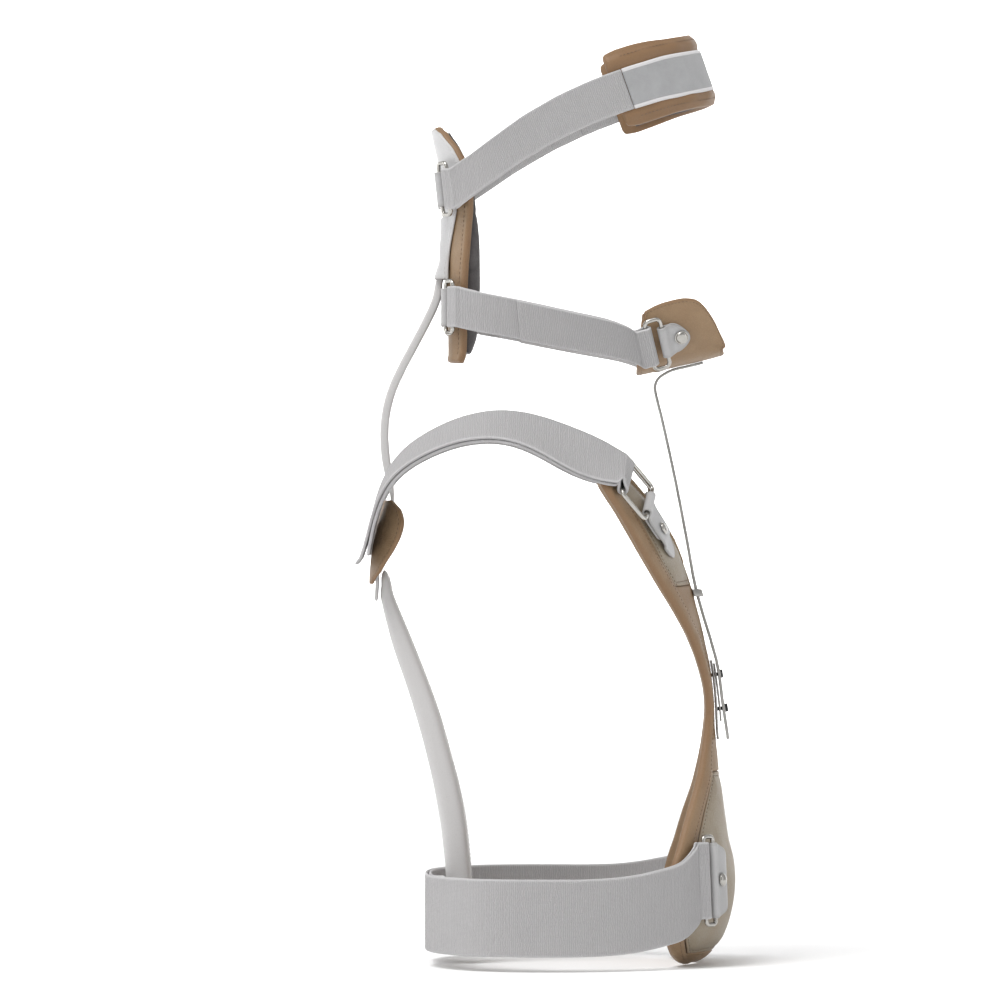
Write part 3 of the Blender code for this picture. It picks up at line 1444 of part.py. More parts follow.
def make_chin_strap(word, side):
    nape, chin = nape_fixing(), chin_fixing()
    start, end = nape.strap_bar, chin.strap_bar
    points = [start.copy(), start + nape.along * FOLD_BLEND * 0.6]
    for along, out in CHIN_STRAP_ROWS:
        points.append(start.lerp(end, along) + Vector((0, CHIN_STRAP_OUT * out, 0)))
    points += [end + chin.along * FOLD_BLEND * 0.6, end.copy()]
    path = smooth_path(points, CHIN_PACE)
    count = len(path) - 1
    wides = []
    for k in range(count + 1):
        share = min(max((k - 1) / (count - 2), 0.0), 1.0)
        wides.append(nape.across.lerp(chin.across, share))
    route = Route(path, wides, Vector((0, 1, 0)))
    total = route.length
    grid = run(FOLD_BLEND, total - FOLD_BLEND, CHIN_PACE)
    way = [(grid[1], -LAYER), (grid[0], -LAYER)]
    way += [(s, -spread(s)) for s in close_in(total, True)]
    way += fold(0.0, 1, start=True)
    way += [(s, spread(s)) for s in reversed(close_in(total, True))]
    way += [(grid[0], LAYER), (grid[1], LAYER), (grid[2], LAYER * 0.2), (grid[3], -LAYER)]
    way += [(s, -spread(total - s)) for s in grid[4:]]
    way += [(s, -spread(total - s)) for s in close_in(total)]
    way += fold(total, 1)
    way += [(s, spread(total - s)) for s in reversed(close_in(total))]
    way += [(s, spread(total - s)) for s in reversed(grid[4:])]
    return strap("chin_strap_" + word, route, way, HEAD_WEB_WIDTH, side)


# Head band


def band_route():
    """Middle of the band's outer layer from the right ring over the forehead to the left."""
    fixing = head_fixing()
    up = Vector((-math.sin(HEAD_TILT), 0, math.cos(HEAD_TILT)))
    bar = fixing.strap_bar
    front = Vector((BAND_FRONT, 0, BAND_UP))
    half = []
    for way, out, drop in BAND_ROWS:
        point = front.lerp(Vector((bar.x, 0, bar.z)), way)
        point.y = out * HEAD_HALF_WIDTH
        half.append(point - up * drop * HEAD_HALF_WIDTH)
    half += [bar + fixing.along * FOLD_BLEND * 0.6, bar.copy()]
    points = [Vector((p.x, -p.y, p.z)) for p in reversed(half[1:])] + half
    path = smooth_path(points, BAND_PACE)
    middle = len(path) // 2
    wides = []
    for k in range(len(path)):
        share = max(0.0, (abs(k - middle) - middle * 0.72) / (middle * 0.28 - 1))
        ring = fixing.across if k > middle else Vector((fixing.across.x, -fixing.across.y,
                                                        fixing.across.z))
        wides.append((-up).lerp(ring, min(share, 1.0)))
    return Route(path, wides, Vector((0, 1, 0)) if path[0].y > 0 else Vector((0, -1, 0))), up


def make_forehead():
    """Grey band, the pad inside it and the dark lining inside the pad."""
    route, up = band_route()
    stations = list(zip(route.reach, route.points, route.widths))
    held = [(p, w) for _, p, w in stations if p.x > BAND_FRONT - BAND_SEAM_BACK]
    ribbon("forehead_band", [p for p, _ in held], [w * HEAD_WEB_WIDTH / 2 for _, w in held],
           WEB_THICKNESS, grey_loop())
    padded = [s for s, p, _ in stations if p.x > BAND_FRONT - PAD_END_BACK]
    last = len(padded) - 1
    outer_face = WEB_THICKNESS / 2 + SEAT_GAP
    halves, centres = [], []
    for k in range(last + 1):
        near_end = min(k, last - k)
        thick = (0.62, 1.10, 1.00)[min(near_end, 2)] * FOREHEAD_PAD_THICKNESS / 2
        tall = (1.06, 1.12, 1.08, 1.04, 1.00)[min(near_end, 4)] * FOREHEAD_PAD_HEIGHT / 2
        halves.append((thick, tall))
        centres.append(-(outer_face + thick))
    pad_body("forehead_pad", route, padded, centres, halves, up, PAD_LIFT, tan_leather(), 0.42)
    level = outer_face + FOREHEAD_PAD_THICKNESS + SEAT_GAP + FOREHEAD_LINING_THICKNESS / 2
    inner = padded[2:-2]
    pad_body("forehead_lining", route, inner, [-level] * len(inner),
             [(FOREHEAD_LINING_THICKNESS / 2, FOREHEAD_PAD_HEIGHT * 0.49)] * len(inner),
             up, 2 * PAD_LIFT, dark_lining(), 0.12)


def pad_body(name, route, distances, centres, halves, up, lift, material, power):
    """A pad whose sections stand along the band's height."""
    sections = []
    sides = 8
    for distance, centre, (thick, tall) in zip(distances, centres, halves):
        point, normal, _ = route.at(distance)
        point = point + normal * centre + up * lift
        ring = []
        for k in range(sides):
            angle = 2 * math.pi * (k + 0.5) / sides
            c, s = math.cos(angle), math.sin(angle)
            ring.append(point + up * tall * math.copysign(abs(c) ** power, c)
                        + normal * thick * math.copysign(abs(s) ** power, s))
        sections.append(ring)
    return loft(name, sections, material)


def make_head_strap(word, side):
    """Elastic from the band's seam to the ring and back inside."""
    route, _ = band_route()
    total = route.length
    middle = len(route.points) // 2
    grid = [s for s, p in list(zip(route.reach, route.points))[middle:]
            if p.x < BAND_FRONT - BAND_SEAM_BACK and s < total - FOLD_BLEND * 1.2]
    pad_end = min(s for s, p in list(zip(route.reach, route.points))[middle:]
                  if p.x < BAND_FRONT - PAD_END_BACK - BAND_PACE * 0.67)

    def outer(s):
        return TURN * max(0.0, 1 - (total - s) / FOLD_BLEND) ** 1.5

    way = [(grid[0] - BAND_PACE * 0.47, 0.0)] + [(s, outer(s)) for s in grid]
    way += [(s, outer(s)) for s in close_in(total)]
    way += list(reversed(fold(total, 1)))
    way += [(s, outer(s) - 2 * spread(total - s)) for s in reversed(close_in(total))]
    way += [(s, -2 * LAYER) for s in reversed(grid) if s > pad_end]
    return strap("head_strap_" + word, route, way, HEAD_WEB_WIDTH, side)


def make_back_rivets():
    for word, side in (("right", -1), ("left", 1)):
        out = BACK_PLATE_HALF_WIDTH * 0.62
        point = back_plate_point(0.5, out)
        inward = face_normal(back_plate_point, 0.5, out, Vector((1, 0, 0)))
        base = point + inward * (BACK_PLATE_THICKNESS + 2 * SEAT_GAP)
        dome("back_rivet_" + word, base, inward, BACK_RIVET_RADIUS, RIVET_HEIGHT, nickel(), side)


def main():
    clear_scene()
    make_front_plate()
    make_insets()
    make_occipital_plate()
    make_occipital_pad()
    make_occipital_cover()
    make_neck_bar()
    make_chin_support()
    make_chin_bar()
    make_bracket_and_clamp()
    make_bolts()
    make_bar_guide()
    make_back_plate()
    make_back_rivets()
    make_back_bar()
    make_belt_seat()
    make_fixings()
    make_waist_strap()
    both_sides(make_shoulder_strap)
    both_sides(make_chin_strap)
    make_forehead()
    both_sides(make_head_strap)


main()
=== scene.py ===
"""Finish of the spinal brace: leather, padding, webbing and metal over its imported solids.
Metres, +Z up, the wearer faces +X."""

import itertools
import math

import bmesh
import bpy
import numpy as np
from mathutils import Matrix, Vector, noise


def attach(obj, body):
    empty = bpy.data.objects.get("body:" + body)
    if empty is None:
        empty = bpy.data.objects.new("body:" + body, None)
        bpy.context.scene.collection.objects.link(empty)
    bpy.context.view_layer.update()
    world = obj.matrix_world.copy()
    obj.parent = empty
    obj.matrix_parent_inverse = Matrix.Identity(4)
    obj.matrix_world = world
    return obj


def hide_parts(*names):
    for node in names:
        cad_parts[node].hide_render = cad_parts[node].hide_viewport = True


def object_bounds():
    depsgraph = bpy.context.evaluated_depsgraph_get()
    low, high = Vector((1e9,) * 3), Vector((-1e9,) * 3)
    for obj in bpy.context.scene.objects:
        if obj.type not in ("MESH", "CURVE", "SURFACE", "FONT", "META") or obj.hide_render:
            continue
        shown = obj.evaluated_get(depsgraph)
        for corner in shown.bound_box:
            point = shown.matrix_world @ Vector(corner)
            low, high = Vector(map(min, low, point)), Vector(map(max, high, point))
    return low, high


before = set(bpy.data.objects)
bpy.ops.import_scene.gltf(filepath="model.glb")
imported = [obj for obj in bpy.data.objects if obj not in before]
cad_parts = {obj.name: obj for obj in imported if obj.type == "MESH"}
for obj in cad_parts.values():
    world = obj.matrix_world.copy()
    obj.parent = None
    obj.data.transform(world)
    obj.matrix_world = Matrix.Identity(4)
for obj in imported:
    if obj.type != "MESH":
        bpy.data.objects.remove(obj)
CAD_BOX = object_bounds()

bl_info = {
    "name": "Spinal Brace",
    "version": (1, 0, 0),
    "blender": (4, 5, 0),
    "location": "3D View > Sidebar > Brace",
    "description": "Builds the leather, padding, webbing and metal of a head-to-waist brace",
    "category": "Add Mesh",
}

# Points closer than this are one
WELD = 1e-5

# Clearances
SEAT_GAP = 0.0005
WIRE_GAP = 0.0003

# Front plate, above and below its narrow waist, where the origin lies behind it
CHEST_HEIGHT = 0.157
CHEST_SETBACK = 0.079
CHEST_HALF_WIDTH = 0.094
BELLY_DROP = 0.176
BELLY_FORWARD = 0.014
BELLY_WRAP = 0.0445
BELLY_HALF_WIDTH = 0.079
PLATE_THICKNESS = 0.0055
RECESS_DEPTH = 0.0018
INSET_THICKNESS = 0.0012
PLATE_EDGE = 0.003
RIM_WIDTH = 0.013
INNER_RIM_WIDTH = 0.007
STEP_WIDTH = 0.001

# Occipital plate
OCCIPUT_BACK = 0.178
OCCIPUT_BASE = 0.2324
OCCIPUT_HEIGHT = 0.162
OCCIPUT_FLARE = 0.0097
OCCIPUT_HALF_WIDTH = 0.042
OCCIPUT_RADIUS = 0.060
OCCIPUT_THICKNESS = 0.0042
PAD_THICKNESS = 0.0085
COVER_THICKNESS = 0.0014
COVER_SLACK = 0.0012

# Chin support
CHIN_BACK = 0.0483
CHIN_LENGTH = 0.0600
CHIN_BASE = 0.2262
CHIN_RISE = 0.0145
CHIN_WING_HEIGHT = 0.0425
CHIN_HALF_WIDTH = 0.044
CHIN_THICKNESS = 0.0026

# Chin bar
BAR_WIDTH = 0.016
BAR_THICKNESS = 0.0020
BAR_HEEL_BACK = 0.0350
BAR_HEEL_DROP = 0.0165
BAR_BOW = 0.0012
BAR_FOOT_FORWARD = 0.0152
BAR_FOOT_DROP = 0.0269
BRACKET_THICKNESS = 0.0015
CLAMP_THICKNESS = 0.0012
GUIDE_HEIGHT = 0.074

# Back plate, neck bar and back bar
BACK_DEPTH = 0.2324
BACK_PLATE_BASE = 0.080
BACK_PLATE_HEIGHT = 0.058
BACK_PLATE_LEAN = 0.0104
BACK_PLATE_HALF_WIDTH = 0.036
BACK_PLATE_RADIUS = 0.046
BACK_PLATE_THICKNESS = 0.0026
NECK_BAR_WIDTH = 0.021
NECK_BAR_THICKNESS = 0.0060
NECK_BAR_BARE = 0.0026
NECK_BAR_BOW = 0.0141
NECK_BAR_TIP = 0.012
NECK_BAR_LEAVE = 0.0080
NECK_BAR_ENTRY = 0.0145
NECK_HOLE_RADIUS = 0.0022
BACK_BAR_WIDTH = 0.034
BACK_BAR_THICKNESS = 0.018
BACK_BAR_DROP = 0.168
BACK_BAR_LAP = 0.0097
BACK_BAR_FORWARD = 0.0543

# Width of the edges that handling darkens and rubs on the leathers, and of the painted highlight
# along the webbing's selvedges
EDGE_WEAR_AND_HIGHLIGHT_WIDTH = 0.006

# Webbing, wire and head band
WAIST_WEB_WIDTH = 0.0525
SHOULDER_WEB_WIDTH = 0.040
HEAD_WEB_WIDTH = 0.028
WEB_THICKNESS = 0.0022
TAB_THICKNESS = 0.0016
WIRE_RADIUS = 0.0015
HEAD_TILT = math.radians(20)
FOREHEAD_PAD_THICKNESS = 0.0075
FOREHEAD_PAD_HEIGHT = 0.050
FOREHEAD_LINING_THICKNESS = 0.0014
PAD_LIFT = 0.0015
HEAD_MIDDLE = (-0.09, 0, 0.43)

# Distances of the seams from the edges of their pieces
RIM_SEAM = 0.0022
INNER_RIM_SEAM = 0.0021
PANEL_SEAM = 0.0032
OCCIPUT_SEAM = 0.0058
COVER_SEAM = 0.0028
CHIN_SEAM = 0.0026
BACK_PLATE_SEAM = 0.003
BACK_BAR_SEAM = 0.0016
STRAP_SEAMS = (0.0022, 0.0062)
FOREHEAD_SEAM = 0.0075

# Front plate above the waist. Columns: centre height, centre back, inner edge out,
# outer edge height, outer edge back, outer edge out; shares of the chest sizes
CHEST_ROWS = (
    (0.000, 0.000, 0.000, 0.000, 0.023, 0.191),
    (0.134, 0.030, 0.000, 0.127, 0.070, 0.266),
    (0.268, 0.086, 0.000, 0.261, 0.165, 0.394),
    (0.395, 0.146, 0.000, 0.382, 0.291, 0.543),
    (0.510, 0.209, 0.000, 0.503, 0.437, 0.660),
    (0.586, 0.259, 0.000, 0.586, 0.532, 0.745),
    (0.662, 0.316, 0.160, 0.662, 0.620, 0.819),
    (0.745, 0.405, 0.277, 0.745, 0.715, 0.883),
    (0.828, 0.506, 0.372, 0.822, 0.804, 0.931),
    (0.904, 0.627, 0.457, 0.885, 0.886, 0.968),
    (0.968, 0.741, 0.532, 0.930, 0.940, 0.958),
    (1.000, 0.810, 0.617, 0.962, 0.955, 0.860),
)
CROTCH_ROW = 5

# Front plate below the waist. Columns: drop, centre forward, edge wrap, edge out; shares
BELLY_ROWS = (
    (0.114, 0.057, 0.085, 0.253),
    (0.216, 0.179, 0.191, 0.354),
    (0.324, 0.321, 0.326, 0.519),
    (0.443, 0.500, 0.530, 0.696),
    (0.551, 0.714, 0.719, 0.835),
    (0.642, 0.964, 0.910, 0.937),
    (0.739, 1.000, 1.000, 1.000),
    (0.824, 0.821, 0.978, 1.000),
    (0.892, 0.536, 0.876, 0.924),
    (0.943, 0.179, 0.708, 0.785),
    (0.977, -0.214, 0.506, 0.595),
    (1.000, -0.679, 0.213, 0.329),
)

# Occipital plate from its base. Columns: height, flare, half width; shares
OCCIPUT_ROWS = (
    (0.000, 0.000, 0.700),
    (0.040, 0.000, 0.790),
    (0.110, 0.000, 0.810),
    (0.235, 0.000, 0.810),
    (0.390, 0.000, 0.845),
    (0.530, 0.000, 0.905),
    (0.680, 0.070, 0.975),
    (0.805, 0.330, 1.000),
    (0.905, 0.720, 0.860),
    (0.970, 0.950, 0.620),
    (1.000, 1.000, 0.340),
)

# Pad on its inner face. Columns: height along the plate, thickness; shares
PAD_ROWS = ((0.040, 0.45), (0.110, 0.85), (0.235, 1.00), (0.390, 1.00), (0.530, 0.85),
            (0.680, 0.40), (0.805, 0.22), (0.905, 0.20), (0.970, 0.20))

# White cover. Columns: height along the plate, half width; shares of the plate's
COVER_ROWS = ((0.355, 0.340), (0.430, 0.345), (0.480, 0.400), (0.550, 0.540), (0.620, 0.660),
              (0.680, 0.740), (0.805, 0.930), (0.905, 0.840), (0.970, 0.600), (0.992, 0.340))

# Chin support from back to front. Columns: length, base rise, wing height, half width
CHIN_ROWS = (
    (0.000, 0.000, 0.960, 1.000),
    (0.140, 0.120, 1.020, 0.985),
    (0.300, 0.270, 1.040, 0.950),
    (0.500, 0.470, 1.020, 0.890),
    (0.680, 0.640, 0.910, 0.820),
    (0.840, 0.800, 0.610, 0.745),
    (0.945, 0.920, 0.280, 0.680),
    (1.000, 1.000, 0.060, 0.620),
)

# Back plate from its base. Columns: height, lean, half width; shares
BACK_PLATE_ROWS = (
    (0.000, 0.000, 0.240),
    (0.143, 0.040, 0.640),
    (0.417, 0.200, 0.930),
    (0.702, 0.530, 1.000),
    (0.890, 0.840, 0.860),
    (1.000, 1.000, 0.560),
)

# Neck bar between the two plates. Columns: way along, bow; shares
NECK_BOW_ROWS = ((0.116, 0.18), (0.251, 0.49), (0.376, 0.785), (0.503, 0.995), (0.633, 1.0),
                 (0.763, 0.79), (0.887, 0.43))

# Back bar from its top. Columns: way down, forward, half thickness, half width; shares
BACK_BAR_ROWS = (
    (0.000, 0.000, 0.240, 0.560),
    (0.040, 0.010, 0.400, 0.680),
    (0.080, 0.040, 0.540, 0.760),
    (0.187, 0.221, 0.780, 0.880),
    (0.299, 0.418, 0.870, 0.940),
    (0.390, 0.562, 0.930, 1.000),
    (0.484, 0.687, 0.955, 1.000),
    (0.580, 0.800, 0.980, 1.000),
    (0.671, 0.880, 1.000, 1.000),
    (0.762, 0.930, 1.000, 1.000),
    (0.860, 0.965, 1.000, 1.000),
    (0.970, 0.992, 1.000, 1.000),
    (1.000, 1.000, 0.860, 0.900),
)

# Words of the two sides and their directions along Y
SIDES = (("right", -1), ("left", 1))


class BraceColours(bpy.types.PropertyGroup):
    """Colours of the brace's leathers and fabrics."""

    tan: bpy.props.FloatVectorProperty(
        name="Tan leather", description="Leather of the front plate and the pads",
        subtype="COLOR", size=3, min=0.0, max=1.0, default=(0.275, 0.185, 0.106))
    panel: bpy.props.FloatVectorProperty(
        name="Panel leather", description="Leather of the sunk panels of the front plate",
        subtype="COLOR", size=3, min=0.0, max=1.0, default=(0.300, 0.260, 0.200))
    white: bpy.props.FloatVectorProperty(
        name="White leather", description="Leather of the back bar, the nape cover and the tabs",
        subtype="COLOR", size=3, min=0.0, max=1.0, default=(0.560, 0.560, 0.565))
    lining: bpy.props.FloatVectorProperty(
        name="Lining", description="Dark lining against the head",
        subtype="COLOR", size=3, min=0.0, max=1.0, default=(0.075, 0.070, 0.070))
    elastic: bpy.props.FloatVectorProperty(
        name="Elastic", description="White webbing of the straps",
        subtype="COLOR", size=3, min=0.0, max=1.0, default=(0.570, 0.560, 0.565))
    loop: bpy.props.FloatVectorProperty(
        name="Loop face", description="Grey loop fabric of the forehead band",
        subtype="COLOR", size=3, min=0.0, max=1.0, default=(0.310, 0.312, 0.318))


class BraceSewing(bpy.types.PropertyGroup):
    """Sizes of the sewing, the webbing and the padding."""

    stitch_pitch: bpy.props.FloatProperty(
        name="Stitch pitch", description="Distance from one stitch to the next",
        unit="LENGTH", min=0.001, max=0.01, default=0.0032)
    stitch_radius: bpy.props.FloatProperty(
        name="Thread radius", description="Radius of the sewing thread",
        unit="LENGTH", min=0.0001, max=0.001, default=0.00022)
    rib_pitch: bpy.props.FloatProperty(
        name="Rib pitch", description="Distance between the webbing's cross ribs",
        unit="LENGTH", min=0.001, max=0.01, default=0.0021)
    rib_height: bpy.props.FloatProperty(
        name="Rib height", description="How far the webbing's ribs stand up",
        unit="LENGTH", min=0.0, max=0.001, default=0.00026)
    crown: bpy.props.FloatProperty(
        name="Panel crown", description="How far the sunk panels are padded up",
        unit="LENGTH", min=0.0, max=0.003, default=0.0009)


class BraceStage(bpy.types.PropertyGroup):
    """Sizes of the studio."""

    distance: bpy.props.FloatProperty(
        name="Camera distance", description="Distance from the camera to the brace's middle plane",
        unit="LENGTH", min=1.0, max=20.0, default=6.0)
    floor: bpy.props.FloatProperty(
        name="Floor size", description="Width of the floor and of the backdrop",
        unit="LENGTH", min=2.0, max=40.0, default=24.0)
    brightness: bpy.props.FloatProperty(
        name="Brightness", description="Strength of all the lamps together",
        min=0.1, max=5.0, default=1.0)


# Tables and surfaces of the solids


def value_at(rows, place):
    """Smooth values of a table at a fractional row number."""
    last = len(rows) - 1
    place = min(max(place, 0.0), float(last))
    low = min(int(place), last - 1)
    part = place - low
    here, there = rows[low], rows[low + 1]
    before = rows[low - 1] if low > 0 else [2 * a - b for a, b in zip(here, there)]
    after = rows[low + 2] if low + 2 <= last else [2 * b - a for a, b in zip(here, there)]
    values = []
    for p, a, b, q in zip(before, here, there, after):
        slope_a, slope_b = (b - p) / 2, (q - a) / 2
        values.append((2 * part**3 - 3 * part**2 + 1) * a + (part**3 - 2 * part**2 + part) * slope_a
                      + (3 * part**2 - 2 * part**3) * b + (part**3 - part**2) * slope_b)
    return values


def row_place(rows, key):
    """Fractional row number at which the first column, which rises, reaches a value."""
    for low in range(len(rows) - 1):
        first, second = rows[low][0], rows[low + 1][0]
        if key <= second:
            return low + (key - first) / (second - first)
    return float(len(rows) - 1)


def plate_rows():
    """Rows of the front plate in metres, from its lowest to its highest."""
    rows = []
    for drop, forward, wrap, out in reversed(BELLY_ROWS):
        z, x = -drop * BELLY_DROP, forward * BELLY_FORWARD
        rows.append((z, x, 0.0, z, x - wrap * BELLY_WRAP, out * BELLY_HALF_WIDTH, 1.0))
    for i, (up, back, inner, edge_up, edge_back, out) in enumerate(CHEST_ROWS):
        bend = 1.0 - 0.7 * max(0, i - CROTCH_ROW) / (len(CHEST_ROWS) - 1 - CROTCH_ROW)
        rows.append((up * CHEST_HEIGHT, -back * CHEST_SETBACK, inner * CHEST_HALF_WIDTH,
                     edge_up * CHEST_HEIGHT, -edge_back * CHEST_SETBACK,
                     out * CHEST_HALF_WIDTH, bend))
    return rows


PLATE_ROWS = plate_rows()
WAIST = len(BELLY_ROWS)
CROTCH = WAIST + CROTCH_ROW
# Fractional rows at which the recesses begin and end
ARM_INSET = (WAIST + 3.9, WAIST + 10.3)
BELLY_INSET = (1.6, WAIST - 2.6)


def plate_point(row, across):
    """Inner face of the front plate; across is 0 at its inner edge and 1 at its outer edge."""
    z, x, inner, edge_z, edge_x, out, bend = value_at(PLATE_ROWS, row)
    if row <= CROTCH:
        inner = 0.0
    share = (1 - bend) * across + bend * across * abs(across)
    return Vector((x + (edge_x - x) * share, inner + (out - inner) * across,
                   z + (edge_z - z) * across))


def plate_columns(row):
    """Shares across the plate at which its rims end, for a row."""
    inner, out = plate_point(row, 0.0), plate_point(row, 1.0)
    width = (out - inner).length
    on_arm = row > CROTCH - 1.5
    first = INNER_RIM_WIDTH / width if on_arm else 0.30
    last = 1.0 - min(RIM_WIDTH / width, 0.36)
    step = STEP_WIDTH / width
    return [0.0, first, first + step, (first + last) / 2, last - step, last, 1.0]


def occiput_point(height, out):
    """Outer face of the occipital plate at a share of its height and a distance out."""
    _, flare, _ = value_at(OCCIPUT_ROWS, row_place(OCCIPUT_ROWS, height))
    sag = OCCIPUT_RADIUS - math.sqrt(OCCIPUT_RADIUS**2 - out**2)
    return Vector((-OCCIPUT_BACK - flare * OCCIPUT_FLARE + sag, out,
                   OCCIPUT_BASE + height * OCCIPUT_HEIGHT))


def occiput_half_width(height):
    """Half width of the occipital plate at a share of its height."""
    return value_at(OCCIPUT_ROWS, row_place(OCCIPUT_ROWS, height))[2] * OCCIPUT_HALF_WIDTH


def back_plate_point(height, out):
    """Outer face of the back plate."""
    _, lean, _ = value_at(BACK_PLATE_ROWS, row_place(BACK_PLATE_ROWS, height))
    sag = BACK_PLATE_RADIUS - math.sqrt(BACK_PLATE_RADIUS**2 - out**2)
    return Vector((-BACK_DEPTH + lean * BACK_PLATE_LEAN + sag, out,
                   BACK_PLATE_BASE + height * BACK_PLATE_HEIGHT))


def chin_point(row, around):
    """Inner face of the chin support; around runs from 0 below the chin to 1 at a wing's top."""
    along, rise, wing, half = value_at(CHIN_ROWS, row)
    angle = around * math.pi / 2
    wide = abs(math.sin(angle)) ** 0.62
    low = abs(math.cos(angle)) ** 0.62
    height = wing * CHIN_WING_HEIGHT
    lift = height * (1 - low)
    lean = 0.005 * (lift / CHIN_WING_HEIGHT) * (1 - along)
    return Vector((-CHIN_BACK + along * CHIN_LENGTH + lean, half * CHIN_HALF_WIDTH * wide,
                   CHIN_BASE + rise * CHIN_RISE + lift))


def unit(vector):
    """A vector's direction, with a length of 1."""
    return vector.normalized()


def neck_points():
    """Middle of the neck bar with its half thickness, from its hidden top to its bare tip."""
    upper = []
    for height in (0.62, 0.55, 0.48, 0.43):
        surface = occiput_point(height, 0.0)
        half = NECK_BAR_BARE / 2 if height > 0.5 else NECK_BAR_BARE * 0.7
        upper.append((Vector((surface.x - SEAT_GAP - half, 0, surface.z)), half))
    leave = occiput_point(0.27, 0.0)
    start = Vector((leave.x - NECK_BAR_LEAVE, 0, leave.z))
    middle = [(start.lerp(upper[-1][0], 0.45) + Vector((-NECK_BAR_LEAVE * 0.075, 0, 0)),
               NECK_BAR_THICKNESS * 0.42),
              (start, NECK_BAR_THICKNESS / 2)]
    lower = []
    for height in (1.0, 0.78, 0.5, 0.22, 0.0):
        surface = back_plate_point(height, 0.0)
        hollow = BACK_PLATE_RADIUS - BACK_PLATE_THICKNESS
        sag = hollow - math.sqrt(hollow**2 - (NECK_BAR_WIDTH / 2)**2)
        shift = BACK_PLATE_THICKNESS + SEAT_GAP + sag + NECK_BAR_BARE / 2
        lower.append((Vector((surface.x + shift, 0, surface.z)), NECK_BAR_BARE / 2))
    tip = lower[-1][0] + unit(lower[-1][0] - lower[-2][0]) * NECK_BAR_TIP
    lower.append((tip, NECK_BAR_BARE / 2))
    end = lower[0][0] + Vector((-NECK_BAR_ENTRY * 0.14, 0, NECK_BAR_ENTRY))
    for along, bow in NECK_BOW_ROWS:
        point = start.lerp(end, along) + Vector((-NECK_BAR_BOW * bow, 0, 0))
        middle.append((point, NECK_BAR_THICKNESS / 2))
    middle.append((end, NECK_BAR_THICKNESS * 0.42))
    return upper + middle + lower


def back_bar_stations():
    """Middle of the back bar with its half thickness and half width."""
    foot = neck_points()[-2][0]
    first = BACK_BAR_ROWS[0][2] * BACK_BAR_THICKNESS / 2
    start = Vector((foot.x + NECK_BAR_BARE / 2 + 2.4 * SEAT_GAP + first, 0,
                    BACK_PLATE_BASE + BACK_BAR_LAP))
    stations = []
    for down, forward, thick, wide in BACK_BAR_ROWS:
        z = start.z - down * (start.z + BACK_BAR_DROP)
        stations.append((Vector((start.x + forward * BACK_BAR_FORWARD, 0, z)),
                         (thick * BACK_BAR_THICKNESS / 2, wide * BACK_BAR_WIDTH / 2)))
    first_rows = 3
    for k in range(first_rows):
        point, halves = stations[k]
        point.x = max(point.x, start.x - first + halves[0] + SEAT_GAP * 0.4)
    return stations


def plate_face(row, across, level):
    """Point of the front plate at a level above its inner face; across may be negative."""
    size = abs(across)
    a, b = min(max(size, 0.002), 0.998), 0.0005
    down = plate_point(row + b, a) - plate_point(row - b, a)
    out = plate_point(row, a + b) - plate_point(row, a - b)
    normal = out.cross(down).normalized()
    normal = normal if normal.x > 0 else -normal
    if row <= CROTCH and size == 0.0:
        normal = Vector((normal.x, 0, normal.z)).normalized()
    point = plate_point(row, size) + normal * level
    point.y = math.copysign(point.y, across) if across else point.y
    return point


def plate_front_x(z):
    """Front of the front plate on its centre line at a height."""
    low, high = 0.0, float(CROTCH)
    for _ in range(30):
        middle = (low + high) / 2
        if plate_face(middle, 0.0, PLATE_THICKNESS).z < z:
            low = middle
        else:
            high = middle
    return plate_face(low, 0.0, PLATE_THICKNESS).x


def bar_points():
    """Middle of the chin bar, from under the chin to its foot."""
    def base_line(x):
        rise = value_at(CHIN_ROWS, row_place(CHIN_ROWS, (x + CHIN_BACK) / CHIN_LENGTH))[1]
        return CHIN_BASE + rise * CHIN_RISE - CHIN_THICKNESS

    points = []
    for share in (0.060, 0.343, 0.643):
        x = -share * BAR_HEEL_BACK
        points.append(Vector((x, 0, base_line(x) - 1.4 * SEAT_GAP - BAR_THICKNESS / 2)))
    heel = base_line(-0.814 * BAR_HEEL_BACK)
    for share, drop in ((0.814, 0.182), (0.931, 0.364), (1.0, 0.636), (0.994, 1.0)):
        points.append(Vector((-share * BAR_HEEL_BACK, 0, heel - drop * BAR_HEEL_DROP)))
    z = CHEST_HEIGHT * 0.175
    stack = BRACKET_THICKNESS + CLAMP_THICKNESS + 2 * WIRE_GAP
    hold = Vector((plate_front_x(z) + SEAT_GAP + stack + BAR_THICKNESS / 2 + WIRE_GAP, 0, z))
    foot = Vector((BAR_FOOT_FORWARD, 0, -BAR_FOOT_DROP))
    low = points[-1]
    guide_x = plate_front_x(GUIDE_HEIGHT) - SEAT_GAP * 0.2
    guide = Vector((guide_x + BAR_THICKNESS / 2 + 1.5 * BAR_BOW, 0, GUIDE_HEIGHT))
    for share, bow in ((0.16, 0.67), (0.45, 1.0), (0.75, 0.5)):
        points.append(low.lerp(guide, share) + Vector((BAR_BOW * bow, 0, 0)))
    return points + [guide, hold, hold.lerp(foot, 0.5), foot]


# Mesh building


def eased(count, start=0.0, end=1.0):
    """Values from start to end that lie close together at both ends."""
    return [start + (end - start) * (1 - math.cos(math.pi * k / count)) / 2
            for k in range(count + 1)]


def step_up(value, low, high):
    """Smooth step from 0 at low to 1 at high, for numbers and arrays."""
    share = np.clip((np.asarray(value, dtype=float) - low) / (high - low), 0.0, 1.0)
    return share * share * (3 - 2 * share)


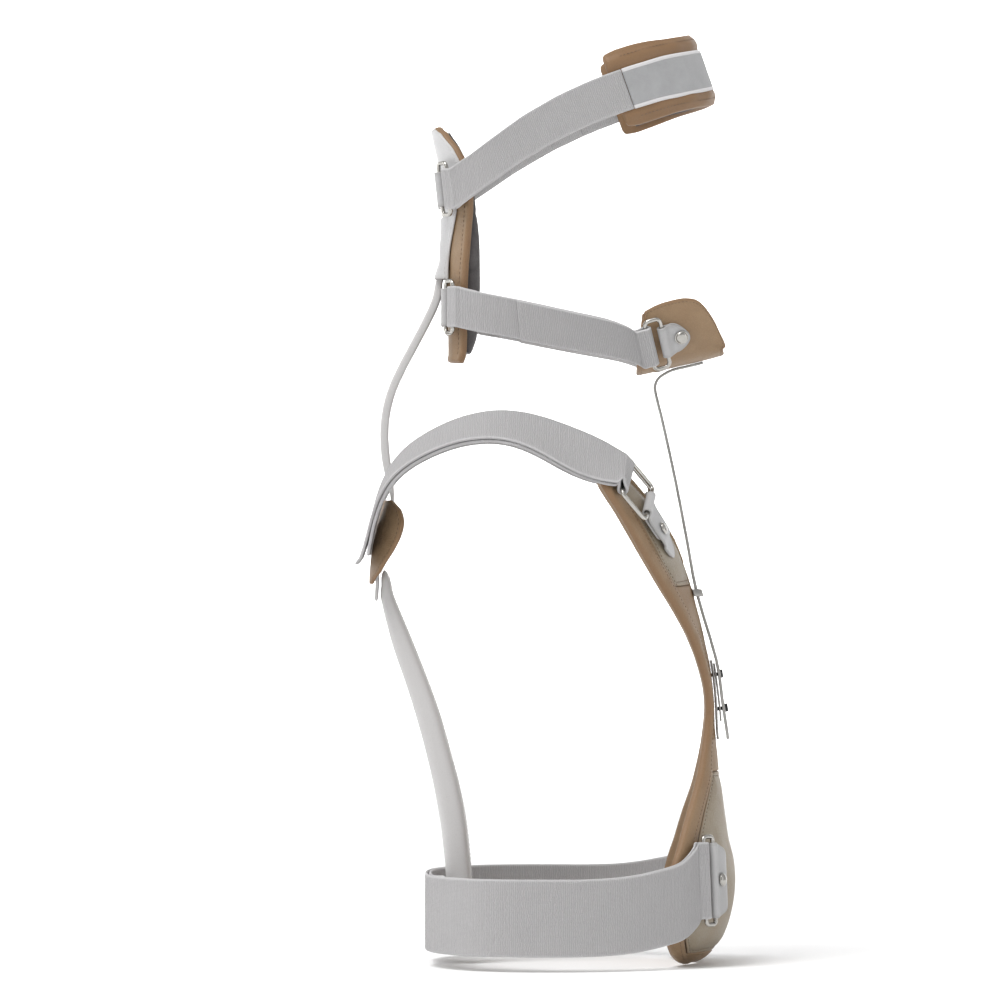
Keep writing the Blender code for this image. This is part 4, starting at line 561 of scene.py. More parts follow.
def through(table, places):
    """Smooth curve through the rows of an array at fractional row numbers."""
    table, places = np.asarray(table, dtype=float), np.asarray(places, dtype=float)
    last = len(table) - 1
    low = np.clip(places.astype(int), 0, last - 1)
    t = (places - low)[:, None]
    before, after = table[np.maximum(low - 1, 0)], table[np.minimum(low + 2, last)]
    a, b = table[low], table[low + 1]
    before = np.where((low == 0)[:, None], 2 * a - b, before)
    after = np.where((low == last - 1)[:, None], 2 * b - a, after)
    slope_a, slope_b = (b - before) / 2, (after - a) / 2
    return ((2 * t**3 - 3 * t**2 + 1) * a + (t**3 - 2 * t**2 + t) * slope_a
            + (3 * t**2 - 2 * t**3) * b + (t**3 - t**2) * slope_b)


def reach_along(points):
    """Distance along a line of points, from 0 at the first."""
    steps = np.linalg.norm(np.diff(points, axis=0), axis=1)
    return np.concatenate([[0], np.cumsum(steps)])


def unit_rows(vectors):
    return vectors / np.linalg.norm(vectors, axis=-1, keepdims=True)


def rolled(distance, radius):
    """Share of the full thickness at a distance from an edge that is rolled over."""
    near = np.clip(distance / radius, 0.0, 1.0)
    return np.sqrt(np.maximum(0.0, 1 - (1 - near)**2))


def unevenness(points, scale, height):
    """Low waves of a hand-made surface, one value for each point."""
    flat = points.reshape(-1, 3)
    values = [noise.noise(Vector(p) * scale) * height for p in flat.tolist()]
    return np.array(values).reshape(points.shape[:-1])


def finished_piece(name, points, faces, finish, replaced, rim=None, uv=None):
    """Weld a closed mesh, turn its faces outwards and hand it to the frame."""
    mesh = bpy.data.meshes.new(name)
    mesh.from_pydata(points, [], faces)
    work = bmesh.new()
    work.from_mesh(mesh)
    if rim is not None:
        layer = work.verts.layers.float.new("rim")
        for vertex, value in zip(work.verts, rim):
            vertex[layer] = value
    if uv is not None:
        layer = work.loops.layers.uv.new("UVMap")
        for face in work.faces:
            for loop in face.loops:
                loop[layer].uv = uv[loop.vert.index]
    bmesh.ops.remove_doubles(work, verts=work.verts, dist=WELD / 4)
    bmesh.ops.dissolve_degenerate(work, edges=work.edges, dist=WELD / 10)
    bmesh.ops.recalc_face_normals(work, faces=work.faces)
    work.to_mesh(mesh)
    work.free()
    mesh.materials.append(finish)
    mesh.shade_smooth()
    made = bpy.data.objects.new(name, mesh)
    bpy.context.scene.collection.objects.link(made)
    return hand_over(made, replaced)


def hand_over(made, replaced):
    """Let a piece ride on the brace in place of its CAD nodes."""
    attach(made, "root")
    if replaced:
        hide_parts(*replaced)
    return made


class Shell:
    """A soft shell over a grid of points: two faces whose edges roll over to meet.

    The outer face looks along facing. outer and inner are levels over the grid, or functions
    that work them out from the shell, and radius is that of its rolled edges. distance is each
    point's distance from the edge, and the first points of the first centred rows lie in the
    brace's middle plane.
    """

    def __init__(self, grid, facing, outer, inner, radius, distance=None, centred=0):
        self.grid = grid = np.array(grid)
        normal = unit_rows(np.cross(np.gradient(grid, axis=0), np.gradient(grid, axis=1)))
        if (normal @ np.array(facing)).sum() < 0:
            normal = -normal
        if centred:
            normal[:centred, 0, 1] = 0.0
            normal = unit_rows(normal)
        self.normal = normal
        steps = np.linalg.norm(np.diff(grid, axis=0), axis=2)
        self.down = np.vstack([np.zeros((1, grid.shape[1])), np.cumsum(steps, axis=0)])
        steps = np.linalg.norm(np.diff(grid, axis=1), axis=2)
        self.across = np.hstack([np.zeros((grid.shape[0], 1)), np.cumsum(steps, axis=1)])
        if distance is None:
            distance = self.edge_distance()
        self.distance = distance
        share = rolled(distance, radius)
        outer = outer(self) if callable(outer) else outer + 0 * distance
        inner = inner(self) if callable(inner) else inner + 0 * distance
        middle = (outer + inner) / 2
        self.top = grid + normal * (middle + (outer - middle) * share)[..., None]
        self.low = grid + normal * (middle + (inner - middle) * share)[..., None]

    def edge_distance(self):
        return np.minimum.reduce([self.down, self.down[-1] - self.down,
                                  self.across, self.across[:, -1:] - self.across])

    def mesh(self, sides=(1,)):
        """Points, faces and rim shares of the shell, mirrored where two sides are asked for."""
        rows, columns = self.top.shape[:2]
        points, faces, rim = [], [], []
        near = np.clip(self.distance / EDGE_WEAR_AND_HIGHLIGHT_WIDTH, 0, 1).ravel().tolist()
        for side in sides:
            for sheet in (self.top, self.low):
                start = len(points)
                points += [(x, side * y, z) for x, y, z in sheet.reshape(-1, 3).tolist()]
                rim += near
                for r in range(rows - 1):
                    for c in range(columns - 1):
                        a = start + r * columns + c
                        faces.append((a, a + 1, a + columns + 1, a + columns))
        return points, faces, rim

    def make(self, name, finish, replaced, slot_name, sides=(1,)):
        points, faces, rim = self.mesh(sides)
        return finished_piece(name, points, faces, finish, replaced, rim)

    def side_line(self, inset, far=False, rows=slice(None)):
        """Line down the shell at a distance from one side: points and normals."""
        line = []
        for r in range(*rows.indices(len(self.top))):
            place = self.across[r, -1] - inset if far else inset
            spot = [np.interp(place, self.across[r], values[r, :, k])
                    for values in (self.top, self.normal) for k in range(3)]
            line.append(spot)
        line = np.array(line)
        return line[:, :3], line[:, 3:]

    def end_line(self, inset, far=False, trim=0.0):
        """Line across the shell at a distance from one end: points and normals."""
        line = []
        for c in range(self.top.shape[1]):
            if not trim <= self.across[0, c] <= self.across[0, -1] - trim:
                continue
            place = self.down[-1, c] - inset if far else inset
            spot = [np.interp(place, self.down[:, c], values[:, c, k])
                    for values in (self.top, self.normal) for k in range(3)]
            line.append(spot)
        line = np.array(line)
        return line[:, :3], line[:, 3:]

    def outline(self, inset, trim):
        """Four lines along the shell's sides and ends, whose end lines stop short by a trim."""
        return [self.side_line(inset), self.side_line(inset, True),
                self.end_line(inset, False, trim), self.end_line(inset, True, trim)]


def mirrored(line):
    """The same line on the other side of the brace."""
    flip = np.array((1, -1, 1))
    return line[0] * flip, line[1] * flip


def sew(name, lines, finish, pitch=None, radius=None):
    """Rows of stitches that dip into the leather at both ends.

    A stitch is four rings of points; the columns of its profile are the place along it, its
    lift and its width, as shares of its half length and its radius.
    """
    sewing = bpy.context.scene.brace_sewing
    pitch, radius = pitch or sewing.stitch_pitch, radius or sewing.stitch_radius
    sides, half = 5, pitch * 0.36
    profile = ((-1.0, -1.1, 0.55), (-0.55, 0.35, 1.0), (0.55, 0.35, 1.0), (1.0, -1.1, 0.55))
    points, faces = [], []
    for spots, normals in lines:
        reach = reach_along(spots)
        count = int(reach[-1] / pitch)
        for number in range(count):
            place = (number + 0.5) * reach[-1] / count
            middle, ahead, up = (
                Vector([np.interp(at, reach, values[:, k]) for k in range(3)])
                for at, values in ((place, spots), (place + 0.0004, spots), (place, normals)))
            way = (ahead - middle).normalized()
            up = (up - way * up.dot(way)).normalized()
            out = way.cross(up)
            start = len(points)
            for along, lift, wide in profile:
                for k in range(sides):
                    turn = 2 * math.pi * k / sides
                    points.append(middle + way * half * along + up * radius * (
                        lift + wide * math.sin(turn)) + out * radius * wide * math.cos(turn))
            for ring in range(3):
                for k in range(sides):
                    a, b = start + ring * sides + k, start + ring * sides + (k + 1) % sides
                    faces.append((a, b, b + sides, a + sides))
            faces.append(tuple(start + k for k in range(sides)))
            faces.append(tuple(start + 3 * sides + k for k in range(sides)))
    return finished_piece(name, points, faces, finish, ())


def soft_bar(name, middles, across, halves, finish, replaced, sides=20,
             power=0.6, radius=0.003, dent=None):
    """A padded bar: rounded sections along a line, with rolled ends."""
    ways = unit_rows(np.gradient(middles, axis=0))
    rises = unit_rows(np.cross(ways, across))
    reach = reach_along(middles)
    share = rolled(np.minimum(reach, reach[-1] - reach), radius)
    points, faces, uv = [], [], []
    for i, (middle, wide, rise) in enumerate(zip(middles, across, rises)):
        thick, half = halves[i]
        for k in range(sides):
            turn = 2 * math.pi * (k + 0.5) / sides
            c, s = math.cos(turn), math.sin(turn)
            out = (half - radius * (1 - share[i])) * math.copysign(abs(c)**power, c)
            lift = thick * share[i] * math.copysign(abs(s)**power, s)
            if dent:
                out, lift = dent(reach[i], out, lift)
            points.append(tuple(middle + wide * out + rise * lift))
            uv.append((reach[i], out))
    for i in range(len(middles) - 1):
        for k in range(sides):
            a, b = i * sides + k, i * sides + (k + 1) % sides
            faces.append((a, b, b + sides, a + sides))
    faces.append(tuple(range(sides)))
    faces.append(tuple(range(len(points) - sides, len(points))))
    return finished_piece(name, points, faces, finish, replaced, uv=uv)


# Webbing read from the solids


# Rise of the head straps and the band over their solids. Columns: place along X, rise
HEAD_ARCH = ((-0.168, 0.0), (-0.150, 0.0040), (-0.130, 0.0085), (-0.105, 0.0112),
             (-0.080, 0.0115), (-0.057, 0.0103), (-0.0315, 0.0070), (-0.012, 0.0025),
             (0.001, 0.0))


def arched(node, point):
    """The head straps and the band bow upward over the temples, as soft webbing does."""
    if node.startswith(("head_strap", "forehead_")):
        return point + Vector((0, 0, float(np.interp(point.x, *zip(*HEAD_ARCH)))))
    return point


def strap_sections(node):
    """Four-cornered sections of a CAD band in order: middles, half widths, half heights."""
    work = bmesh.new()
    work.from_mesh(bpy.data.objects[node].data)
    bmesh.ops.remove_doubles(work, verts=work.verts, dist=WELD)
    work.verts.ensure_lookup_table()
    for vert in work.verts:
        vert.co = arched(node, vert.co)

    def rings_from(start):
        rings, seen = [set(start)], set(start)
        while rings[-1]:
            ring = {e.other_vert(v) for v in rings[-1] for e in v.link_edges} - seen
            seen |= ring
            rings.append(ring)
        return rings[:-1]

    tip = min(rings_from([work.verts[0]])[-1], key=lambda v: v.index)
    rings = None
    for face in tip.link_faces:
        for edge in face.edges:
            cap = {v for f in edge.link_faces for v in f.verts}
            if rings is None and len(cap) == 4 and tip in cap:
                found = rings_from(cap)
                if all(len(ring) == 4 for ring in found):
                    rings = found
    if rings is None:
        raise RuntimeError(node + " isn't a plain band")
    first = rings[0] - {tip}
    second = min(first, key=lambda v: (v.co - tip.co).length)
    third = min(first - {second}, key=lambda v: (v.co - second.co).length)
    order = [[tip, second, third, (first - {second, third}).pop()]]
    for ring in rings[1:]:
        last = order[-1]
        order.append(list(min(itertools.permutations(sorted(ring, key=lambda v: v.index)),
                              key=lambda some: sum((a.co - b.co).length_squared
                                                   for a, b in zip(some, last)))))
    corners = np.array([[tuple(v.co) for v in ring] for ring in order])
    work.free()
    middles = corners.mean(axis=1)
    wide = (corners[:, 2] + corners[:, 3] - corners[:, 0] - corners[:, 1]) / 4
    rise = (corners[:, 1] + corners[:, 2] - corners[:, 0] - corners[:, 3]) / 4
    return middles, wide, rise


# Half a section of webbing, thick at its selvedges. Columns: out, thickness; shares
WEB_PROFILE = ((-1.0, 0.0), (-0.99, 0.55), (-0.965, 0.92), (-0.93, 1.04), (-0.88, 0.96),
               (-0.75, 0.93), (-0.5, 0.93), (-0.25, 0.93), (0.0, 0.93), (0.25, 0.93),
               (0.5, 0.93), (0.75, 0.93), (0.88, 0.96), (0.93, 1.04), (0.965, 0.92),
               (0.99, 0.55), (1.0, 0.0))


def eased_path(spots, pace, rounds=240):
    """A band's path with its kinks eased, apart from the tight turns round the rings."""
    reach = max(2, round(0.0035 / pace))
    ways = unit_rows(np.gradient(spots, axis=0))
    held = np.ones(len(spots), bool)
    held[reach:-reach] = (ways[2 * reach:] * ways[:-2 * reach]).sum(axis=1) < 0.80
    held = np.convolve(held, np.ones(2 * reach + 1), "same") > 0
    free = ~held[1:-1, None] * 0.5
    for _ in range(rounds):
        spots[1:-1] += free * ((spots[:-2] + spots[2:]) / 2 - spots[1:-1])
    return spots


def resampled(sections, pace):
    """A band's middle line at an even pace: reach, middles, half widths, normals."""
    middles, wide, rise = sections
    reach = reach_along(middles)
    count = max(8, round(reach[-1] / pace))
    marks = np.linspace(0, reach[-1], count + 1)
    places = np.interp(marks, reach, np.arange(len(reach)))
    spots = eased_path(through(middles, places), reach[-1] / count)
    size = through(np.linalg.norm(wide, axis=1)[:, None], places)[:, 0]
    direction = unit_rows(through(wide, places))
    ways = unit_rows(np.gradient(spots, axis=0))
    normals = unit_rows(np.cross(ways, direction))
    up = through(rise, places)
    if (normals * up).sum() < 0:
        normals = -normals
    return marks, spots, direction, size, normals


def longer(sections, starts, ends):
    """A band's sections with both end sections moved outward."""
    middles, wide, rise = (values.copy() for values in sections)
    middles[0] += (middles[0] - middles[1]) / np.linalg.norm(middles[0] - middles[1]) * starts
    middles[-1] += (middles[-1] - middles[-2]) / np.linalg.norm(middles[-1] - middles[-2]) * ends
    return middles, wide, rise


def webbing(node, name, finish, thickness=WEB_THICKNESS, ribs=1.0, pace=0.0007,
            round_ends=0.0004, seed=0.0, reach=(0.0, 0.0)):
    """A woven band with ribs and thick selvedges in place of a plain CAD band."""
    sewing = bpy.context.scene.brace_sewing
    sections = longer(strap_sections(node), *reach)
    marks, spots, direction, size, normals = resampled(sections, pace)
    total = marks[-1]
    tips = rolled(np.minimum(marks, total - marks), round_ends)
    size = size * (1 - (1 - tips) * (1 if round_ends > 0.001 else 0.02))
    points, uv, rim, faces = [], [], [], []
    columns = len(WEB_PROFILE)
    for i, mark in enumerate(marks.tolist()):
        spot, wide, up = Vector(spots[i]), Vector(direction[i]), Vector(normals[i])
        wave = noise.noise(Vector((mark * 38 + seed, seed, 0.0)))
        half = size[i] * (1 + 0.006 * ribs * wave)
        for face in (1, -1):
            for across, high in WEB_PROFILE if face == 1 else WEB_PROFILE[-2:0:-1]:
                out = across * half
                crepe = noise.noise(Vector((mark * 230 + seed, out * 90, face)))
                rib = math.sin(2 * math.pi * (mark / sewing.rib_pitch + 0.55 * crepe))
                inside = 1.0 if abs(across) < 0.9 else 0.25
                bump = sewing.rib_height * ribs * inside * (0.5 * rib + 0.55 * crepe - 0.3)
                level = (thickness / 2 * high + bump) * max(tips[i], 0.05) if high else 0.0
                points.append(spot + wide * out + up * level * face)
                uv.append((mark, out))
                rim.append(min((1 - abs(across)) * half / EDGE_WEAR_AND_HIGHLIGHT_WIDTH, 1.0))
    ring = 2 * columns - 2
    for i in range(len(marks) - 1):
        for k in range(ring):
            a, b = i * ring + k, i * ring + (k + 1) % ring
            faces.append((a, b, b + ring, a + ring))
    faces.append(tuple(range(ring)))
    faces.append(tuple(range(len(points) - ring, len(points))))
    made = finished_piece(name, points, faces, finish, (node,), rim, uv)
    return made, total, (spots, direction, size, normals)


# Hard pieces, modelled by hand


def start_afresh():
    """Leave edit mode with nothing selected."""
    if bpy.context.object and bpy.context.object.mode != "OBJECT":
        bpy.ops.object.mode_set(mode="OBJECT")
    bpy.ops.object.select_all(action="DESELECT")


def pick(chosen, kind="FACE"):
    """Select what a test accepts in the mesh that is being edited."""
    bpy.ops.mesh.select_mode(type=kind)
    bpy.ops.mesh.select_all(action="DESELECT")
    work = bmesh.from_edit_mesh(bpy.context.edit_object.data)
    parts = {"VERT": work.verts, "EDGE": work.edges, "FACE": work.faces}[kind]
    for part in parts:
        part.select_set(bool(chosen(part)))
    work.select_flush_mode()
    bmesh.update_edit_mesh(bpy.context.edit_object.data)


def push(z):
    bpy.ops.mesh.extrude_region_move(TRANSFORM_OT_translate={"value": (0, 0, z)})


def apply_modifiers(made):
    for modifier in list(made.modifiers):
        bpy.ops.object.modifier_apply(modifier=modifier.name)


def placed_copy(model, name, place, finish, replaced):
    """A copy of a model with its own mesh, moved to its place."""
    made = bpy.data.objects.new(name, model.data.copy())
    made.data.name = name
    made.data.transform(place)
    made.data.materials.clear()
    made.data.materials.append(finish)
    bpy.context.scene.collection.objects.link(made)
    return hand_over(made, replaced)


def discard(model):
    mesh = model.data
    bpy.data.objects.remove(model, do_unlink=True)
    bpy.data.meshes.remove(mesh)


def node_points(node):
    return np.array([tuple(arched(node, v.co)) for v in bpy.data.objects[node].data.vertices])


def main_axes(points):
    """Middle of a cloud of points and its axes, from the thinnest to the longest."""
    points = np.unique(np.round(points, 6), axis=0)
    middle = points.mean(axis=0)
    _, axes = np.linalg.eigh(np.cov((points - middle).T))
    return middle, axes.T


def turned(middle, first, second, third):
    """Matrix that lays a model's axes along three directions."""
    place = Matrix.Identity(4)
    for column, axis in enumerate((first, second, third, middle)):
        for line in range(3):
            place[line][column] = axis[line]
    return place


def ring_place(node):
    """Matrix and size of a wire ring: its length, then its width, between bar middles."""
    points = node_points(node)
    middle, (normal, along, across) = main_axes(points)
    if np.cross(along, across) @ normal < 0:
        normal = -normal
    offset = points - middle
    spans = [(offset @ axis).max() - (offset @ axis).min() for axis in (along, across)]
    centre = middle + sum(((offset @ axis).max() + (offset @ axis).min()) / 2 * axis
                          for axis in (along, across))
    length, width = (span - 2 * WIRE_RADIUS for span in spans)
    return turned(centre, along, across, normal), length, width


def model_ring(length, width, corner):
    """A bent wire ring that lies flat round the origin."""
    start_afresh()
    bpy.ops.mesh.primitive_plane_add(size=1)
    bpy.ops.object.mode_set(mode="EDIT")
    bpy.ops.transform.resize(value=(length, width, 1))
    bpy.ops.mesh.bevel(affect="VERTICES", offset=corner, segments=7, profile=0.5)
    bpy.ops.mesh.delete(type="ONLY_FACE")
    bpy.ops.object.mode_set(mode="OBJECT")
    bpy.ops.object.convert(target="CURVE")
    wire = bpy.context.object
    wire.data.bevel_depth = WIRE_RADIUS
    wire.data.bevel_resolution = 4
    bpy.ops.object.convert(target="MESH")
    bpy.ops.object.shade_smooth()
    return bpy.context.object


def model_rivet(radius, height):
    """A domed rivet head with a thin flange, standing on the origin."""
    start_afresh()
    bpy.ops.mesh.primitive_circle_add(vertices=32, radius=radius, fill_type="NGON")
    bpy.ops.object.mode_set(mode="EDIT")
    bpy.ops.mesh.select_all(action="SELECT")
    size = 1.0
    for wide, rise in ((1.0, 0.16), (0.97, 0.05), (0.88, 0.02), (0.86, 0.12), (0.80, 0.24),
                       (0.66, 0.20), (0.46, 0.13), (0.22, 0.06), (0.06, 0.02)):
        push(height * rise)
        bpy.ops.transform.resize(value=(wide / size, wide / size, 1))
        size = wide
    bpy.ops.mesh.select_all(action="SELECT")
    bpy.ops.mesh.normals_make_consistent(inside=False)
    bpy.ops.object.mode_set(mode="OBJECT")
    bpy.ops.object.shade_smooth_by_angle(angle=math.radians(50))
    return bpy.context.object


def rivet_place(node):
    """Matrix that stands a rivet on its CAD node's base."""
    points = np.unique(np.round(node_points(node), 6), axis=0)
    middle, (normal, _, _) = main_axes(points)
    high = (points - middle) @ normal
    out = np.linalg.norm(points - middle - high[:, None] * normal, axis=1)
    if out[high > high.max() - 2e-5].mean() > out[high < high.min() + 2e-5].mean():
        normal, high = -normal, -high
    base = points[high < high.min() + 2e-5].mean(axis=0)
    side = unit_rows(np.cross(normal, (0.0, 0.0, 1.0)))
    return turned(base, side, np.cross(normal, side), normal)


def model_bolt(radius, head_radius, head_height, shank):
    """A socket screw: its head stands on the origin and its shank points down."""
    start_afresh()
    bpy.ops.mesh.primitive_cylinder_add(vertices=24, radius=head_radius, depth=head_height,
                                        location=(0, 0, head_height / 2))
    bpy.ops.object.mode_set(mode="EDIT")
    pick(lambda face: face.normal.z < -0.9)
    bpy.ops.mesh.inset(thickness=head_radius - radius)
    push(-shank)
    pick(lambda face: face.normal.z > 0.9)
    bpy.ops.mesh.bevel(offset=head_height * 0.09, segments=3, affect="EDGES")
    pick(lambda face: face.normal.z > 0.99 and face.calc_area() > head_radius**2)
    bpy.ops.mesh.inset(thickness=head_radius * 0.36)
    push(-head_height * 0.55)
    bpy.ops.mesh.select_all(action="SELECT")
    bpy.ops.mesh.normals_make_consistent(inside=False)
    bpy.ops.object.mode_set(mode="OBJECT")
    bpy.ops.object.shade_smooth_by_angle(angle=math.radians(35))
    return bpy.context.object


def model_strip(points, width, thickness, bevel):
    """A flat bar bent along a line in the brace's middle plane."""
    start_afresh()
    bpy.ops.mesh.primitive_plane_add(size=width)
    strip = bpy.context.object
    bpy.ops.object.mode_set(mode="EDIT")
    half = width / 2
    pick(lambda vertex: vertex.co.x < 0, "VERT")
    bpy.ops.transform.translate(value=points[0] + Vector((half, 0, 0)))
    pick(lambda vertex: (vertex.co - points[0]).length > half * 1.001, "VERT")
    bpy.ops.transform.translate(value=points[1] - Vector((half, 0, 0)))
    pick(lambda edge: all(abs(v.co.x - points[1].x) < 1e-6 and abs(v.co.z - points[1].z) < 1e-6
                          for v in edge.verts), "EDGE")
    for here, there in zip(points[1:], points[2:]):
        bpy.ops.mesh.extrude_edges_move(TRANSFORM_OT_translate={"value": there - here})
    bpy.ops.object.mode_set(mode="OBJECT")
    wall = strip.modifiers.new("wall", "SOLIDIFY")
    wall.thickness, wall.offset = thickness, 0.0
    edge = strip.modifiers.new("edge", "BEVEL")
    edge.width, edge.segments, edge.limit_method = bevel, 2, "ANGLE"
    edge.angle_limit = math.radians(60)
    apply_modifiers(strip)
    bpy.ops.object.shade_smooth_by_angle(angle=math.radians(40))
    return strip


def bevelled_copy(node, name, width, finish, segments=2):
    """A welded copy of a CAD node with soft edges."""
    start_afresh()
    made = bpy.data.objects.new(name, bpy.data.objects[node].data.copy())
    bpy.context.scene.collection.objects.link(made)
    bpy.context.view_layer.objects.active = made
    made.select_set(True)
    work = bmesh.new()
    work.from_mesh(made.data)
    bmesh.ops.remove_doubles(work, verts=work.verts, dist=WELD)
    bmesh.ops.dissolve_limit(work, angle_limit=math.radians(1), verts=work.verts,
                             edges=work.edges)
    work.to_mesh(made.data)
    work.free()
    edge = made.modifiers.new("edge", "BEVEL")
    edge.width, edge.segments, edge.limit_method = width, segments, "ANGLE"
    edge.angle_limit = math.radians(40)
    apply_modifiers(made)
    made.data.materials.clear()
    made.data.materials.append(finish)
    bpy.ops.object.shade_smooth_by_angle(angle=math.radians(40))
    return hand_over(made, (node,))


# Finishes


class Finish:
    """A material being put together from procedural nodes."""

    def __init__(self, name, **constants):
        self.material = bpy.data.materials.new(name)
        self.material.use_nodes = True
        self.tree = self.material.node_tree
        self.shader = self.tree.nodes["Principled BSDF"]
        for key, value in constants.items():
            self.shader.inputs[key.replace("_", " ")].default_value = value

    def node(self, kind, inputs=None, **settings):
        made = self.tree.nodes.new("ShaderNode" + kind)
        for key, value in settings.items():
            setattr(made, key, value)
        for key, value in (inputs or {}).items():
            if isinstance(value, bpy.types.NodeSocket):
                self.tree.links.new(value, made.inputs[key])
            else:
                made.inputs[key].default_value = value
        return made

    def place(self, scale=(1, 1, 1), uv=False):
        """Coordinates in metres, stretched by a scale."""
        source = self.node("TexCoord").outputs["UV" if uv else "Object"]
        return self.node("Mapping", {"Vector": source, "Scale": scale}).outputs["Vector"]

    def noise(self, place, scale, detail=3.0, roughness=0.5, distortion=0.0):
        return self.node("TexNoise", {"Vector": place, "Scale": scale, "Detail": detail,
                                      "Roughness": roughness,
                                      "Distortion": distortion}).outputs["Fac"]

    def cells(self, place, scale):
        """Distance to the nearest edge of small irregular cells."""
        return self.node("TexVoronoi", {"Vector": place, "Scale": scale},
                         feature="DISTANCE_TO_EDGE").outputs["Distance"]

    def rows(self, place, pitch, direction="X", distortion=0.0, detail=2.0, detail_scale=1.0):
        """Parallel rows across a direction, a pitch apart."""
        return self.node("TexWave", {"Vector": place, "Scale": math.pi / (10 * pitch),
                                     "Distortion": distortion, "Detail": detail,
                                     "Detail Scale": detail_scale},
                         wave_type="BANDS", bands_direction=direction).outputs["Fac"]

    def rim(self):
        return self.node("Attribute", attribute_name="rim").outputs["Fac"]

    def span(self, value, low, high, start=0.0, end=1.0):
        return self.node("MapRange", {"Value": value, "From Min": low, "From Max": high,
                                      "To Min": start, "To Max": end}).outputs["Result"]

    def sum(self, first, second, share=1.0):
        scaled = self.node("Math", {0: second, 1: share}, operation="MULTIPLY").outputs[0]
        return self.node("Math", {0: first, 1: scaled}, operation="ADD").outputs[0]

    def product(self, first, second):
        return self.node("Math", {0: first, 1: second}, operation="MULTIPLY").outputs[0]

    def blend(self, share, first, second):
        """Colour between two colours."""
        made = self.node("Mix", {0: share, 6: first, 7: second}, data_type="RGBA")
        return made.outputs[2]

    def done(self, colour, roughness, height=None, depth=0.0):
        """Join colour, roughness and relief to the shader."""
        self.tree.links.new(colour, self.shader.inputs["Base Color"])
        self.tree.links.new(roughness, self.shader.inputs["Roughness"])
        if height is not None:
            bump = self.node("Bump", {"Height": height, "Distance": depth})
            self.tree.links.new(bump.outputs["Normal"], self.shader.inputs["Normal"])
        return self.material


def tone(colour, factor, warm=1.0):
    """A colour made lighter or darker, as a socket takes it."""
    red, green, blue = colour
    return (min(red * factor * warm, 1.0), min(green * factor, 1.0), min(blue * factor / warm, 1.0),
            1.0)


def leather(name, colour, rough, grain=700.0, mottle=0.16, rim=0.72, depth=0.00009, warm=1.08):
    """Grained leather: mottled, creased, darker along its handled edges."""
    made = bpy.data.materials.get(name)
    if made:
        return made
    f = Finish(name, Specular_IOR_Level=0.45)
    place = f.place()
    cloudy = f.noise(place, 19.0, 4.0, 0.6)
    fine = f.noise(place, 160.0, 3.0, 0.6)
    body = f.blend(f.span(cloudy, 0.32, 0.68), tone(colour, 1 - mottle, warm),
                   tone(colour, 1 + mottle * 0.7))
    body = f.blend(f.span(fine, 0.35, 0.75, 0.0, 0.35), body, tone(colour, 1 - 2 * mottle, warm))
    edge = f.span(f.sum(f.rim(), fine, 0.25), 0.16, 0.62)
    body = f.blend(edge, tone(colour, rim, warm * warm), body)
    pores = f.cells(place, grain)
    creases = f.cells(f.place((1.0, 1.0, 0.55)), grain * 0.11)
    dark = f.span(pores, 0.0, 0.16, 0.22, 0.0)
    body = f.blend(dark, body, tone(colour, 0.55, warm))
    height = f.sum(f.span(pores, 0.0, 0.30), f.span(creases, 0.0, 0.06), 0.55)
    height = f.sum(height, f.noise(place, 900.0, 2.0), 0.5)
    worn = f.span(f.sum(cloudy, fine, 0.5), 0.4, 1.0, rough + 0.10, rough - 0.08)
    return f.done(body, worn, height, depth)


def tan_leather():
    return leather("tan_leather_grain", bpy.context.scene.brace_colours.tan, 0.50)


def panel_leather():
    return leather("panel_leather_grain", bpy.context.scene.brace_colours.panel, 0.46,
                   grain=560.0, mottle=0.14, rim=0.80)


def white_leather():
    return leather("white_leather_smooth", bpy.context.scene.brace_colours.white, 0.42,
                   grain=1100.0, mottle=0.035, rim=0.93, depth=0.00003, warm=1.01)


def tab_leather():
    return leather("tab_leather_smooth",
                   tuple(v * 0.80 for v in bpy.context.scene.brace_colours.white), 0.46,
                   grain=1200.0, mottle=0.05, rim=0.82, depth=0.00003, warm=1.01)


def dark_lining():
    """Napped dark lining that the head rests on."""
    made = bpy.data.materials.get("dark_lining_nap")
    if made:
        return made
    colour = bpy.context.scene.brace_colours.lining
    f = Finish("dark_lining_nap", Sheen_Weight=0.35, Sheen_Roughness=0.5, Specular_IOR_Level=0.25)
    place = f.place()
    nap = f.noise(place, 1500.0, 3.0, 0.7)
    stroked = f.noise(place, 45.0, 3.0, 0.6, 0.8)
    body = f.blend(f.span(stroked, 0.35, 0.7), tone(colour, 0.75), tone(colour, 1.5))
    body = f.blend(f.span(nap, 0.4, 0.8, 0.0, 0.5), body, tone(colour, 2.0))
    return f.done(body, f.span(nap, 0.2, 0.8, 0.95, 0.75), f.sum(nap, stroked, 0.4), 0.00025)


